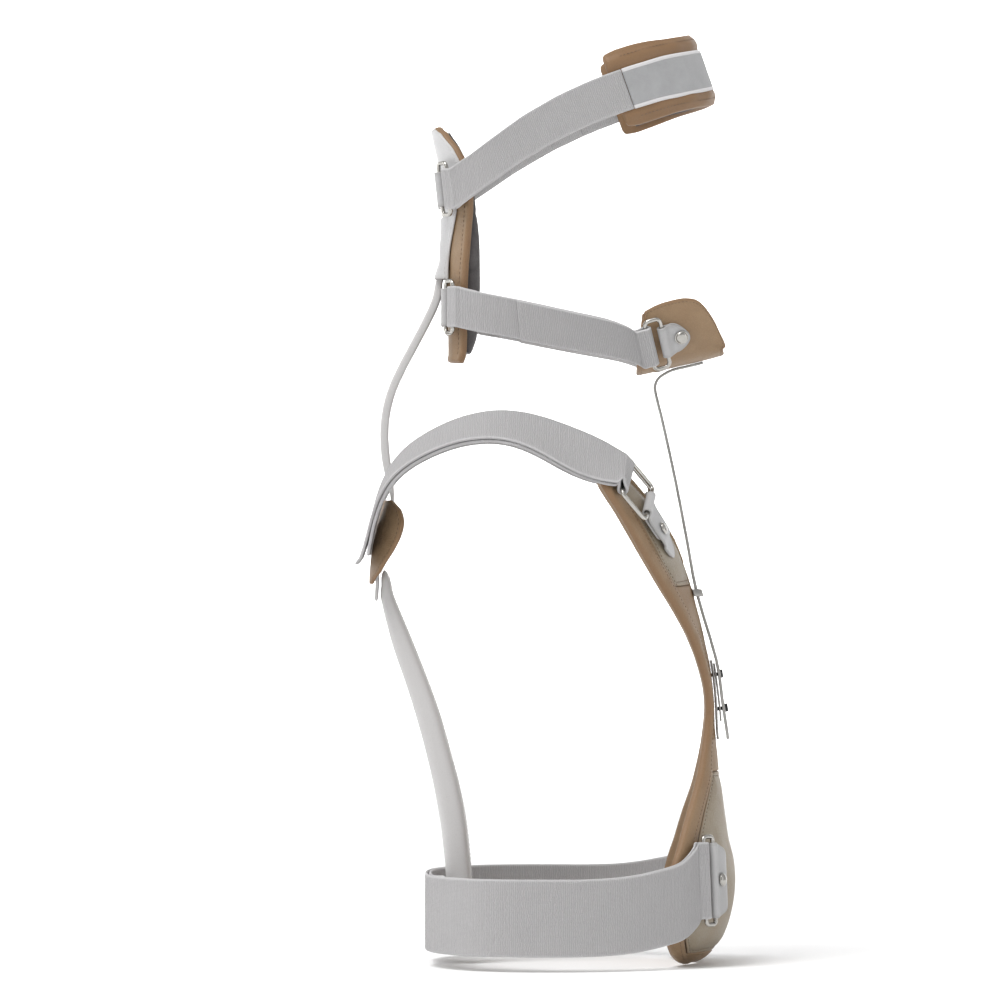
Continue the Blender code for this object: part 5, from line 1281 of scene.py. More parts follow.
def elastic():
    """Crepe elastic: wavy cross ribs over a fine weave, with painted shade in its grooves and a
    painted highlight along the selvedges.
    """
    made = bpy.data.materials.get("white_elastic_weave")
    if made:
        return made
    colour = bpy.context.scene.brace_colours.elastic
    pitch = bpy.context.scene.brace_sewing.rib_pitch
    f = Finish("white_elastic_weave", Sheen_Weight=0.25, Sheen_Roughness=0.6,
               Specular_IOR_Level=0.3)
    place = f.place(uv=True)
    ribs = f.rows(place, pitch * 0.62, "X", 5.0, 3.0, 1.3)
    warp = f.rows(place, 0.00085, "Y", 1.2, 2.0, 3.0)
    weft = f.rows(place, 0.00055, "X", 0.8, 1.0, 2.0)
    cloudy = f.noise(place, 55.0, 4.0, 0.65)
    weave = f.sum(f.product(warp, weft), ribs, 0.9)
    # Grooves of the weave painted darker and its crests lighter: painted shade and highlight over
    # the relief that the bump also draws
    body = f.blend(f.span(weave, 0.2, 1.5), tone(colour, 0.70), tone(colour, 1.08))
    body = f.blend(f.span(cloudy, 0.35, 0.75, 0.0, 0.30), body, tone(colour, 0.86, 1.01))
    # The selvedges are painted lighter: a painted highlight along the strap's edges
    body = f.blend(f.span(f.rim(), 0.05, 0.30), tone(colour, 1.10), body)
    height = f.sum(weave, f.noise(place, 2600.0, 2.0, 0.7), 0.35)
    return f.done(body, f.span(cloudy, 0.3, 0.7, 0.92, 0.78), height, 0.00042)


def grey_loop():
    """Grey loop pile between the white selvedges of the forehead band."""
    made = bpy.data.materials.get("grey_loop_pile")
    if made:
        return made
    colours = bpy.context.scene.brace_colours
    f = Finish("grey_loop_pile", Sheen_Weight=0.3, Sheen_Roughness=0.7, Specular_IOR_Level=0.2)
    place = f.place(uv=True)
    pile = f.noise(place, 1900.0, 3.0, 0.75, 0.6)
    cloudy = f.noise(place, 70.0, 4.0, 0.7)
    body = f.blend(f.span(cloudy, 0.3, 0.7), tone(colours.loop, 0.90), tone(colours.loop, 1.08))
    body = f.blend(f.span(pile, 0.45, 0.75, 0.0, 0.45), body, tone(colours.loop, 1.30))
    edge = f.span(f.rim(), 0.40, 0.46)
    body = f.blend(edge, tone(colours.elastic, 1.08), body)
    step = f.sum(f.product(pile, edge), edge, 1.3)
    return f.done(body, f.span(pile, 0.3, 0.7, 0.95, 0.85), step, 0.00022)


def thread(name, colour):
    """Twisted sewing thread."""
    made = bpy.data.materials.get(name)
    if made:
        return made
    f = Finish(name, Sheen_Weight=0.2, Specular_IOR_Level=0.4)
    place = f.place((1.0, 0.6, 1.4))
    ply = f.rows(place, 0.0004, "DIAGONAL", 0.4)
    fuzz = f.noise(place, 1400.0, 2.0)
    # The twist's grooves are painted darker and its plies lighter: painted shade and highlight
    # along the twist
    body = f.blend(ply, tone(colour, 0.72), tone(colour, 1.1))
    return f.done(body, f.span(fuzz, 0.3, 0.7, 0.6, 0.8), ply, 0.00008)


def brown_thread():
    return thread("brown_thread_ply", (0.150, 0.095, 0.055))


def white_thread():
    return thread("white_thread_ply", (0.620, 0.610, 0.600))


def metal(name, colour, rough, brushed=1.0, streak=(1.0, 1.0, 1.0), metallic=1.0, depth=0.00001,
          worn=0.25):
    """Metal with fine scratches, rubbed brighter in places."""
    made = bpy.data.materials.get(name)
    if made:
        return made
    f = Finish(name, Metallic=metallic)
    place = f.place()
    lines = f.noise(f.place(streak), 900.0, 3.0, 0.7)
    cloudy = f.noise(place, 60.0, 4.0, 0.6)
    pits = f.noise(place, 700.0, 2.0, 0.5)
    body = f.blend(f.span(cloudy, 0.35, 0.7), tone(colour, 1 - worn * 0.6), tone(colour, 1.06))
    body = f.blend(f.span(pits, 0.62, 0.75, 0.0, worn), body, tone(colour, 0.45))
    rubbed = f.sum(f.span(lines, 0.3, 0.7, rough - 0.06 * brushed, rough + 0.10 * brushed),
                   f.span(cloudy, 0.3, 0.8, -0.04, 0.06))
    return f.done(body, rubbed, lines, depth * brushed)


def nickel():
    # Colour held darker than bright nickel: a painted dark reflection that stands in for the dim
    # surroundings the plating mirrors
    return metal("nickel_plate", (0.50, 0.485, 0.455), 0.14, 0.6)


def bar_steel():
    # Colour held darker than bright steel: a painted dark reflection that stands in for the dim
    # surroundings the bar mirrors
    return metal("bar_steel_brushed", (0.40, 0.39, 0.375), 0.30, streak=(1.0, 0.05, 1.0),
                 depth=0.00003)


def black_steel():
    return metal("black_steel_oxide", (0.030, 0.030, 0.032), 0.42, 0.8, metallic=0.7, worn=0.4)


# Groups of pieces


def plate_lines():
    """Fractional rows of the front plate, close at its ends and at the recess ends."""
    last = len(PLATE_ROWS) - 1.0
    ends = (0.0, 0.01, 0.04, 0.09, 0.16, 0.25, 0.36)
    rows = list(ends) + [last - r for r in ends]
    rows += [0.5 + 0.125 * k for k in range(int((last - 1.0) / 0.125) + 1)]
    for start, end in (ARM_INSET, BELLY_INSET):
        rows += [start - 0.04, start - 0.02, start, end, end + 0.02, end + 0.04]
    rows.append(float(CROTCH))
    rows = sorted(rows)
    return [r for i, r in enumerate(rows) if i == 0 or r - rows[i - 1] > 0.006]


def plate_shares(row):
    """Shares across the front plate, close together at its rims."""
    _, first, step_in, _, step_out, last, _ = plate_columns(row)
    shares = [first * (1 - math.cos(math.pi / 2 * k / 7)) for k in range(7)]
    shares += [first + (step_in - first) * k / 3 for k in range(3)]
    shares += [step_in + (step_out - step_in) * k / 12 for k in range(12)]
    shares += [step_out + (last - step_out) * k / 3 for k in range(3)]
    return shares + [last + (1 - last) * math.sin(math.pi / 2 * k / 12) for k in range(13)]


def plate_shell():
    """The front plate's right-hand half, with its rolled rims and its recesses."""
    rows = plate_lines()
    shares = np.array([plate_shares(row) for row in rows])
    grid = [[tuple(plate_point(row, share)) for share in line] for row, line in zip(rows, shares)]
    rows = np.array(rows)
    below = rows <= CROTCH
    centred = int(below.sum())
    shell = Shell(grid, (1, 0, 0), 0.0, 0.0, PLATE_EDGE, centred=centred)
    across, down = shell.across, shell.down
    gap = np.where(below, down[centred - 1, 0] - down[:, 0], 0.0)
    inner = np.hypot(across, gap[:, None])
    distance = np.minimum.reduce([down, down[-1] - down, across[:, -1:] - across, inner])
    columns = np.array([plate_columns(row) for row in rows])
    first, last, step = columns[:, 1:2], columns[:, 5:6], columns[:, 5:6] - columns[:, 4:5]

    def outer(self):
        in_arm, in_belly = (
            step_up(rows, start - 0.04, start) * (1 - step_up(rows, end, end + 0.04))
            for start, end in (ARM_INSET, BELLY_INSET))
        past_rim = 1 - step_up(shares, last - step, last)
        past_inner = step_up(shares, first, first + step)
        sunk = in_arm[:, None] * past_rim * past_inner + in_belly[:, None] * past_rim
        rim = np.clip((shares - last) / (1 - last), 0, 1)
        crown = 0.0007 * np.sin(np.pi * rim) + 0.0004 * (1 - past_inner) * (rows > CROTCH)[:, None]
        thin = 1 - 0.55 * step_up(rows, rows[-1] - 1.25, rows[-1])[:, None]
        waves = unevenness(self.grid, 48.0, 0.0004) + unevenness(self.grid, 130.0, 0.00014)
        return (PLATE_THICKNESS + crown + waves) * thin - RECESS_DEPTH * sunk

    def inner_face(self):
        return unevenness(self.grid, 60.0, 0.0002)

    whole = Shell(grid, (1, 0, 0), outer, inner_face, PLATE_EDGE, distance, centred)
    return whole, rows, columns


def make_front_plate():
    """Leather of the front plate, with a seam along each of its rims."""
    shell, rows, columns = plate_shell()
    plate = shell.make("front_plate_leather", tan_leather(), ("front_plate",), "tan_leather",
                       (-1, 1))
    width = shell.across[:, -1]
    line = []
    for r in range(len(rows)):
        place = width[r] * columns[r][5] + RIM_SEAM
        line.append([np.interp(place, shell.across[r], values[r, :, k])
                     for values in (shell.top, shell.normal) for k in range(3)])
    line = np.array(line)[(rows > 0.9) & (rows < rows[-1] - 0.5)]
    line = line[:, :3], line[:, 3:]
    inside = shell.side_line(INNER_RIM_WIDTH - INNER_RIM_SEAM)
    on_arm = (rows > CROTCH + 1.2) & (rows < rows[-1] - 0.6)
    inside = inside[0][on_arm], inside[1][on_arm]
    sew("front_plate_seams", [line, mirrored(line), inside, mirrored(inside)], brown_thread())


def make_panels():
    """Padded panels that lie in the recesses of the front plate."""
    crown = bpy.context.scene.brace_sewing.crown
    floor = PLATE_THICKNESS - RECESS_DEPTH + SEAT_GAP / 2
    seams = []

    def puffed(self):
        high = crown * step_up(self.distance, 0.001, 0.012)
        groove = 0.00045 * np.exp(-((self.distance - PANEL_SEAM) / 0.0008)**2)
        return INSET_THICKNESS + high - groove + unevenness(self.grid, 70.0, 0.00025)

    def panel(rows, whole):
        grid = []
        for row in rows:
            _, _, start, _, end, last, _ = plate_columns(row)
            step = last - end
            low = -(end - 0.5 * step) if whole else start + 0.5 * step
            grid.append([tuple(plate_face(row, share, floor))
                         for share in eased(44 if whole else 26, low, end - 0.5 * step)])
        return Shell(grid, (1, 0, 0), puffed, 0.0, 0.0010)

    first, last = ARM_INSET
    arm = panel(eased(88, first + 0.01, last - 0.01), False)
    for word, side in SIDES:
        made = arm.make("chest_panel_" + word, panel_leather(), ("chest_inset_" + word,),
                        "panel_leather", (side,))
    first, last = BELLY_INSET
    belly = panel(eased(96, first + 0.01, last - 0.01), True)
    made = belly.make("belly_panel", panel_leather(), ("belly_inset",), "panel_leather")
    for shell, both in ((arm, True), (belly, False)):
        lines = shell.outline(PANEL_SEAM, 0.004)
        seams += lines + ([mirrored(line) for line in lines] if both else [])
    sew("panel_seams", seams, brown_thread())


def make_occiput():
    """Occipital plate with a rolled rim and its dark pad."""
    heights = eased(70)
    grid = [[tuple(occiput_point(h, share * occiput_half_width(h))) for share in eased(44, -1, 1)]
            for h in heights]

    def back(self):
        return 0.0005 * (1 - step_up(self.distance, 0.0035, 0.005)) \
            + unevenness(self.grid, 60.0, 0.0002)

    def front(self):
        return -OCCIPUT_THICKNESS - 0.0004 * (1 - step_up(self.distance, 0.0035, 0.005))

    plate = Shell(grid, (-1, 0, 0), back, front, 0.0024)
    plate.make("occipital_plate_leather", tan_leather(), ("occipital_plate",),
                         "tan_leather")
    lines = [plate.side_line(OCCIPUT_SEAM, far, slice(8, -8)) for far in (False, True)]
    sew("occipital_seams", lines, brown_thread())

    heights = eased(56, PAD_ROWS[0][0], PAD_ROWS[-1][0])
    shares = eased(36, -0.93, 0.93)
    grid = [[tuple(occiput_point(h, share * occiput_half_width(h))) for share in shares]
            for h in heights]
    thick = np.array([value_at(PAD_ROWS, row_place(PAD_ROWS, h))[1] for h in heights])
    base = -(OCCIPUT_THICKNESS + SEAT_GAP)

    def cushion(self):
        soft = 1 + 0.35 * step_up(np.abs(np.array(shares)), 0.45, 0.80)
        quilt = 0.0012 * np.exp(-((np.array(heights) - 0.63) / 0.012)**2)
        return base - PAD_THICKNESS * thick[:, None] * soft[None, :] + quilt[:, None] \
            - unevenness(self.grid, 45.0, 0.0005)

    pad = Shell(grid, (-1, 0, 0), base, cushion, 0.0042)
    pad.make("occipital_pad_lining", dark_lining(), ("occipital_pad",), "dark_lining")


def cover_shell():
    """White leather over the plate's back and the top of the neck bar."""
    bar_line = sorted((p.z, p.x - half) for p, half in neck_points()[:8])
    edge = NECK_BAR_WIDTH / 2 + COVER_SLACK
    bar_z, bar_x = zip(*bar_line)
    grid = []
    for height in eased(60, COVER_ROWS[0][0], COVER_ROWS[-1][0]):
        z = OCCIPUT_BASE + height * OCCIPUT_HEIGHT
        share = value_at(COVER_ROWS, row_place(COVER_ROWS, height))[1]
        half = max(share * OCCIPUT_HALF_WIDTH, edge + 1.6 * COVER_SLACK)
        line = []
        for place in eased(44, -1, 1):
            out = place * half
            x = occiput_point(height, out).x
            if bar_z[0] <= z <= bar_z[-1]:
                over = min(x, float(np.interp(z, bar_z, bar_x)))
                x += (over - x) * float(1 - step_up(abs(out), edge, edge + 0.003))
            slope = out / OCCIPUT_RADIUS
            line.append((x - math.sqrt(1 - slope**2) * SEAT_GAP, out * (1 + SEAT_GAP), z))
        grid.append(line)
    return Shell(grid, (-1, 0, 0), COVER_THICKNESS, 0.0, 0.0010)


def make_cover():
    """White leather cover behind the occipital plate, sewn along its edge."""
    shell = cover_shell()
    made = shell.make("occipital_cover_leather", white_leather(), ("occipital_cover",),
                      "white_leather")
    down = shell.down[:, shell.down.shape[1] // 2]
    area = float((np.diff(down) * shell.across[1:, -1]).sum())
    lines = [shell.side_line(COVER_SEAM), shell.side_line(COVER_SEAM, True),
             shell.end_line(COVER_SEAM, True, 0.003)]
    sew("cover_seams", lines, white_thread())


def make_neck_bar():
    """Leather-covered bar between the two plates, with a hole near its bare tip."""
    stations = neck_points()
    table = [(p.x, p.y, p.z, half) for p, half in stations]
    line = through(table, np.linspace(0, len(table) - 1, 170))
    across = np.tile((0.0, 1.0, 0.0), (len(line), 1))
    halves = [(half, NECK_BAR_WIDTH / 2) for half in line[:, 3]]
    made = soft_bar("neck_bar_leather", line[:, :3], across, halves, white_leather(),
                    ("neck_bar",), sides=24, power=0.35, radius=0.0025)
    tip = stations[-1][0]
    start_afresh()
    bpy.ops.mesh.primitive_cylinder_add(
        vertices=24, radius=NECK_HOLE_RADIUS, depth=0.02,
        location=(tip.x, 0, tip.z + NECK_HOLE_RADIUS * 2), rotation=(0, math.pi / 2, 0))
    cutter = bpy.context.object
    bpy.context.view_layer.objects.active = made
    cut = made.modifiers.new("hole", "BOOLEAN")
    cut.operation, cut.object, cut.solver = "DIFFERENCE", cutter, "EXACT"
    bpy.ops.object.modifier_apply(modifier="hole")
    discard(cutter)
    start_afresh()
    made.select_set(True)
    bpy.context.view_layer.objects.active = made
    bpy.ops.object.shade_smooth_by_angle(angle=math.radians(40))


def make_chin_support():
    """Cupped chin piece with two wings."""
    fine = np.linspace(0, 1, 160)
    section = np.array([tuple(chin_point(3.0, a)) for a in fine])
    reach = reach_along(section)
    half = np.interp(np.sin(np.linspace(0, math.pi / 2, 27)) * reach[-1], reach, fine)
    arounds = [-a for a in half[:0:-1]] + list(half)
    grid = []
    for row in eased(52, 0.0, len(CHIN_ROWS) - 1.0):
        line = []
        for around in arounds:
            point = chin_point(row, abs(around))
            line.append((point.x, math.copysign(point.y, around) if around else 0.0, point.z))
        grid.append(line)

    def outside(self):
        return CHIN_THICKNESS + SEAT_GAP / 2 + unevenness(self.grid, 50.0, 0.0002)

    shell = Shell(grid, (0, 0, -1), outside, 0.0, 0.0013)
    made = shell.make("chin_support_leather", tan_leather(), ("chin_support",), "tan_leather")
    sew("chin_seams", shell.outline(CHIN_SEAM, 0.003), brown_thread(), 0.0026,
        0.00016)


def make_chin_bar():
    """Bent steel bar under the chin, with its guide, its clamp and the two clamp bolts."""
    points = [tuple(p) for p in bar_points()]
    marks = [0.0]
    for low in range(len(points) - 1):
        count = 6 if low < 7 else 3
        marks += [low + k / count for k in range(1, count + 1)]
    line = [Vector((x, 0, z)) for x, _, z in through(points, marks)]
    strip = model_strip(line, BAR_WIDTH, BAR_THICKNESS, 0.00035)
    placed_copy(strip, "chin_bar_steel", Matrix.Identity(4), bar_steel(), ("chin_bar",))
    discard(strip)
    for node in ("clamp_plate", "sternum_bracket", "bar_guide"):
        bevelled_copy(node, node + "_steel", 0.00025, bar_steel())
    low, high = (Vector(p) for p in (points[-1], points[-3]))
    way = (low - high).normalized()
    axis = Vector((-way.z, 0, way.x))
    bolt = None
    for word in ("upper", "lower"):
        node = "clamp_bolt_" + word
        spots = node_points(node)
        along = spots @ np.array(axis)
        head = spots[along > along.max() - 1e-5]
        seat = np.unique(np.round(along, 5))[-3]
        centre = head.mean(axis=0) + np.array(axis) * (seat - along.max())
        radial = np.linalg.norm(spots - centre - ((spots - centre) @ np.array(axis))[:, None]
                                * np.array(axis), axis=1)
        if bolt is None:
            bolt = model_bolt(float(radial[along < seat - 1e-4].max()), float(radial.max()),
                              float(along.max() - seat), float(seat - along.min()))
        side = np.array((0.0, 1.0, 0.0))
        place = turned(centre, side, np.cross(np.array(axis), side), np.array(axis))
        placed_copy(bolt, node + "_socket", place, black_steel(), (node,))
    discard(bolt)


def make_back_plate():
    """Small curved leather plate between the shoulders."""
    grid = []
    for height in eased(44):
        half = value_at(BACK_PLATE_ROWS, row_place(BACK_PLATE_ROWS, height))[2]
        grid.append([tuple(back_plate_point(height, share * half * BACK_PLATE_HALF_WIDTH))
                     for share in eased(40, -1, 1)])

    def outside(self):
        return unevenness(self.grid, 60.0, 0.00025)

    shell = Shell(grid, (-1, 0, 0), outside, -BACK_PLATE_THICKNESS, 0.0013)
    made = shell.make("back_plate_leather", tan_leather(), ("back_plate",), "tan_leather")
    lines = [shell.side_line(BACK_PLATE_SEAM, far, slice(3, -3)) for far in (False, True)]
    lines.append(shell.end_line(BACK_PLATE_SEAM, True, 0.003))
    sew("back_plate_seams", lines, brown_thread())


def make_back_bar():
    """Padded back bar with a closing seam, and the leather block under the waist strap."""
    table = [(p.x, p.y, p.z, thick, half) for p, (thick, half) in back_bar_stations()]
    line = through(table, np.linspace(0, len(table) - 1, 230))
    line[:, 3:] = np.maximum(line[:, 3:], 0.001)
    across = np.tile((0.0, 1.0, 0.0), (len(line), 1))
    waves = [noise.noise(Vector((p[2] * 22, 3.0, 1.0))) * 0.02 for p in line]
    halves = [(thick * (1 + wave), half * (1 + wave * 0.4))
              for thick, half, wave in zip(line[:, 3], line[:, 4], waves)]
    made = soft_bar("back_bar_leather", line[:, :3], across, halves, white_leather(),
                    ("back_bar",), sides=36, power=0.6, radius=0.006)
    middles, ways = line[8:-8, :3], unit_rows(np.gradient(line[8:-8, :3], axis=0))
    rise = unit_rows(np.cross(across[8:-8], ways))
    rise = rise * np.sign(rise[:, :1])
    edge = middles + rise * (line[8:-8, 3:4] * 0.985)
    seams = [(edge + np.array((0, out, 0)), rise) for out in (-BACK_BAR_SEAM, BACK_BAR_SEAM)]
    sew("back_bar_seam", seams, white_thread())
    bevelled_copy("belt_seat", "belt_seat_leather", 0.0016, white_leather(), 4)


# Columns: node, width, strength of the ribs, pieces that it lies on
STRAPS = (
    ("waist_strap", WAIST_WEB_WIDTH, 0.8, ("front_plate_leather", "belt_seat_leather")),
    ("shoulder_strap_right", SHOULDER_WEB_WIDTH, 1.35, ("back_plate_leather",)),
    ("shoulder_strap_left", SHOULDER_WEB_WIDTH, 1.35, ("back_plate_leather",)),
    ("chin_strap_right", HEAD_WEB_WIDTH, 1.1, ("occipital_plate_leather",)),
    ("chin_strap_left", HEAD_WEB_WIDTH, 1.1, ("occipital_plate_leather",)),
    ("head_strap_right", HEAD_WEB_WIDTH, 1.0, ("occipital_cover_leather",)),
    ("head_strap_left", HEAD_WEB_WIDTH, 1.0, ("occipital_cover_leather",)),
)


def end_seam(lay, inset, trim=0.0015, face=1):
    """Line of sewing across a band near its first end."""
    spots, direction, size, normals = lay
    reach = reach_along(spots)
    i = int(np.searchsorted(reach, inset))
    outs = np.linspace(-(size[i] - trim), size[i] - trim, 12)[:, None]
    level = face * (WEB_THICKNESS / 2 * 0.95)
    return spots[i] + outs * direction[i] + level * normals[i], np.tile(face * normals[i], (12, 1))


def band_gaps(node):
    """How far each end of a head strap reaches to meet the forehead band."""
    strap, band = strap_sections(node)[0], strap_sections("forehead_band")[0]
    gaps = [min(np.linalg.norm(strap[i] - band[j]) for j in (0, -1)) for i in (0, -1)]
    return tuple(gap - 0.0004 if gap == min(gaps) else 0.0 for gap in gaps)


def make_straps():
    """Ribbed elastic straps, sewn across at both ends."""
    seams = []
    for number, (node, width, ribs, carriers) in enumerate(STRAPS):
        ends = band_gaps(node) if node.startswith("head_") else (0.0, 0.0)
        made, length, lay = webbing(node, node + "_webbing", elastic(),
                                    ribs=ribs, seed=number * 3.7, reach=ends)
        for flipped in (False, True):
            turn = tuple(values[::-1] for values in lay) if flipped else lay
            for inset in STRAP_SEAMS:
                seams.append(end_seam(turn, inset))
                seams.append(end_seam(turn, inset, face=-1))
    sew("strap_seams", seams, white_thread(), 0.0026, 0.0002)


def make_tabs():
    """Leather tabs folded round the rings and riveted to the plates."""
    for kind in ("waist", "chest", "chin", "head", "nape"):
        for number, (word, _) in enumerate(SIDES):
            node = kind + "_tab_" + word
            made, length, lay = webbing(node, node + "_leather", tab_leather(),
                                        TAB_THICKNESS, ribs=0.0, pace=0.0005,
                                        round_ends=0.0075, seed=number * 1.3)


def make_rings():
    """Bent wire rings, one model for each pair. Columns: kind, radius of the corners."""
    for kind, corner in (("waist", 0.0025), ("chest", 0.0040), ("chin", 0.0035),
                         ("head", 0.0030), ("nape", 0.0030)):
        model = None
        for word, _ in SIDES:
            node = kind + "_ring_" + word
            place, length, width = ring_place(node)
            if model is None:
                model = model_ring(length, width, corner)
            placed_copy(model, node + "_wire", place, nickel(), (node,))
        discard(model)


def make_rivets():
    """Domed rivet heads, one model for each pair. Columns: kind, radius."""
    for kind, radius in (("waist", 0.0046), ("chest", 0.0044), ("chin", 0.0048),
                         ("back", 0.0050)):
        model = model_rivet(radius, 0.0020)
        for word, _ in SIDES:
            node = kind + "_rivet_" + word
            placed_copy(model, node + "_head", rivet_place(node), nickel(), (node,))
        discard(model)


def band_line():
    """Middle of the forehead band and of the nearest stretch of both head straps."""
    band = strap_sections("forehead_band")
    parts = [band]
    for node in ("head_strap_right", "head_strap_left"):
        strap = strap_sections(node)
        near = min(np.linalg.norm(band[0][i] - strap[0][j]) for i in (0, -1) for j in (0, -1))
        if all(np.linalg.norm(band[0][i] - strap[0][0]) > near + 1e-6 for i in (0, -1)):
            strap = tuple(values[::-1] for values in strap)
        extra = tuple(values[1:4] for values in strap)
        at_start = np.linalg.norm(extra[0][0] - band[0][0]) < np.linalg.norm(
            extra[0][0] - band[0][-1])
        if at_start:
            parts.insert(0, tuple(values[::-1] for values in extra))
        else:
            parts.append(extra)
    return np.concatenate([part[0] for part in parts])


def make_forehead():
    """Grey band over a folded leather pad with a dark lining."""
    made, length, _ = webbing("forehead_band", "forehead_band_loop", grey_loop(),
                              ribs=0.35, pace=0.0009, seed=9.1)
    path = band_line()
    up = np.array((-math.sin(HEAD_TILT), 0.0, math.cos(HEAD_TILT)))
    reach = reach_along(path)
    pad = node_points("forehead_pad")
    ends = []
    for side in (-1, 1):
        tip = pad[pad[:, 1] * side > 0]
        tip = tip[tip[:, 0] < tip[:, 0].min() + 0.004].mean(axis=0)
        ends.append(reach[int(np.argmin(np.linalg.norm(path - tip, axis=1)))])
    low, high = sorted(ends)
    marks = np.linspace(low, high, 230)
    spots = through(path, np.interp(marks, reach, np.arange(len(reach))))
    ways = unit_rows(np.gradient(spots, axis=0))
    inward = np.cross(up, ways)
    inward = unit_rows(inward * np.sign((inward * (np.array(HEAD_MIDDLE) - spots)).sum(
        axis=1, keepdims=True)))
    rest = np.minimum(marks - low, high - marks)
    outer_face = WEB_THICKNESS / 2 + SEAT_GAP
    band_half = HEAD_WEB_WIDTH / 2

    thick = FOREHEAD_PAD_THICKNESS / 2 * (0.72 + 0.33 * step_up(rest, 0.002, 0.012))
    tall = FOREHEAD_PAD_HEIGHT / 2 * (1.03 + 0.05 * step_up(rest, 0.0, 0.012)
                                      - 0.06 * step_up(rest, 0.02, 0.06))
    middles = spots + inward * (outer_face + thick)[:, None] + up * PAD_LIFT
    creases = [noise.noise(Vector((mark * 60, 1.7, 0))) for mark in marks]

    def dent(place, out, lift):
        """The band presses the pad in, and it swells above and below the band."""
        if lift < 0:
            away = max(0.0, abs(out) - band_half * 0.92)
            swell = math.sin(min(away / 0.011, 1.0) * math.pi)
            index = min(int(place / (marks[1] - marks[0])), len(creases) - 1)
            return out, lift - 0.0016 * swell * (1 + 0.4 * creases[index]) \
                - 0.0003 * math.sin(place * 260) * swell
        return out, lift

    across = np.tile(up, (len(spots), 1))
    flip = np.cross(unit_rows(np.gradient(middles, axis=0)), across)
    if (flip * inward).sum() < 0:
        across = -across
    made = soft_bar("forehead_pad_leather", middles, across,
                    list(zip(thick.tolist(), tall.tolist())), tan_leather(), ("forehead_pad",),
                    sides=52, power=0.42, radius=0.0036, dent=dent)
    lines = []
    keep = slice(12, -12)
    for height in (band_half + FOREHEAD_SEAM, -(band_half + FOREHEAD_SEAM)):
        edge = spots + up * (height + PAD_LIFT) + inward * (outer_face - 0.0006)
        lines.append((edge[keep], -inward[keep]))
    sew("forehead_seams", lines, brown_thread(), 0.0030, 0.0002)
    inner = slice(14, -14)
    level = outer_face + FOREHEAD_PAD_THICKNESS * 1.03 + SEAT_GAP + FOREHEAD_LINING_THICKNESS / 2
    middles = spots[inner] + inward[inner] * level + up * 2 * PAD_LIFT
    count = len(middles)
    made = soft_bar("forehead_lining_nap", middles, across[inner],
                    [(FOREHEAD_LINING_THICKNESS / 2, FOREHEAD_PAD_HEIGHT * 0.49)] * count,
                    dark_lining(), ("forehead_lining",), sides=28, power=0.12,
                    radius=0.0008)
    length = float(np.linalg.norm(np.diff(middles, axis=0), axis=1).sum())


# Backdrop and view
WALL_PLACE = 9.0
WALL_HEIGHT = 5.0
COVE_DEPTH = 2.6
COVE_RADIUS = 2.2
FLOOR_GAP = 0.0006
BRACE_MIDDLE = (-0.11, 0.0, 0.14)
VIEW_X = -0.14207
VIEW_Z = 0.13793
SENSOR_WIDTH = 36.0
FRAME_PIXELS = 1000.0
FOCAL_PIXELS = 8700.0
FOCAL_DISTANCE = 6.0

# Soft lamps round the brace. Columns: name, place, width, height, strength
LAMPS = (
    ("lamp_top", (-0.45, -0.4, 2.2), 1.6, 1.6, 10.0),
    ("lamp_near", (-1.4, -3.0, 1.5), 1.4, 1.4, 9.0),
    ("lamp_rear", (-2.4, 0.8, 0.9), 1.4, 2.0, 12.0),
    ("lamp_front", (2.3, -0.9, 0.6), 1.2, 2.0, 6.0),
)


def hang_lamp(name, kind, place, way, strength):
    """Lamp at a place that shines along a direction."""
    lamp = bpy.data.lights.new(name, kind)
    lamp.energy = strength * bpy.context.scene.brace_stage.brightness
    holder = bpy.data.objects.new(name, lamp)
    holder.location = place
    holder.rotation_euler = Vector(way).to_track_quat("-Z", "Y").to_euler()
    bpy.context.scene.collection.objects.link(holder)
    return lamp


def hang_soft_lamp(name, place, way, width, height, strength):
    """Rectangular soft lamp."""
    lamp = hang_lamp(name, "AREA", place, way, strength)
    lamp.shape, lamp.size, lamp.size_y = "RECTANGLE", width, height


def make_floor(size):
    """Pale floor that curves up into a backdrop."""
    low = CAD_BOX[0].z - FLOOR_GAP
    start_afresh()
    bpy.ops.mesh.primitive_plane_add(
        size=size, location=(0, WALL_PLACE - COVE_DEPTH - size / 2, low))
    floor = bpy.context.object
    floor.name = "studio_floor"
    bpy.ops.object.mode_set(mode="EDIT")
    pick(lambda edge: all(v.co.y > size / 2 - 1e-4 for v in edge.verts), "EDGE")
    bpy.ops.mesh.extrude_edges_move(TRANSFORM_OT_translate={"value": (0, COVE_DEPTH, 0)})
    bpy.ops.mesh.extrude_edges_move(TRANSFORM_OT_translate={"value": (0, 0, WALL_HEIGHT)})
    bpy.ops.object.mode_set(mode="OBJECT")
    cove = floor.modifiers.new("cove", "BEVEL")
    cove.width, cove.segments, cove.limit_method = COVE_RADIUS, 24, "ANGLE"
    apply_modifiers(floor)
    bpy.ops.object.transform_apply(location=True, rotation=True, scale=True)
    bpy.ops.object.shade_smooth()
    f = Finish("studio_paper", Specular_IOR_Level=0.1)
    grain = f.noise(f.place(), 400.0, 2.0)
    colour = f.blend(f.span(grain, 0.3, 0.7), (0.93, 0.93, 0.93, 1), (0.95, 0.95, 0.95, 1))
    floor.data.materials.append(f.done(colour, f.span(grain, 0.3, 0.7, 0.9, 0.95)))


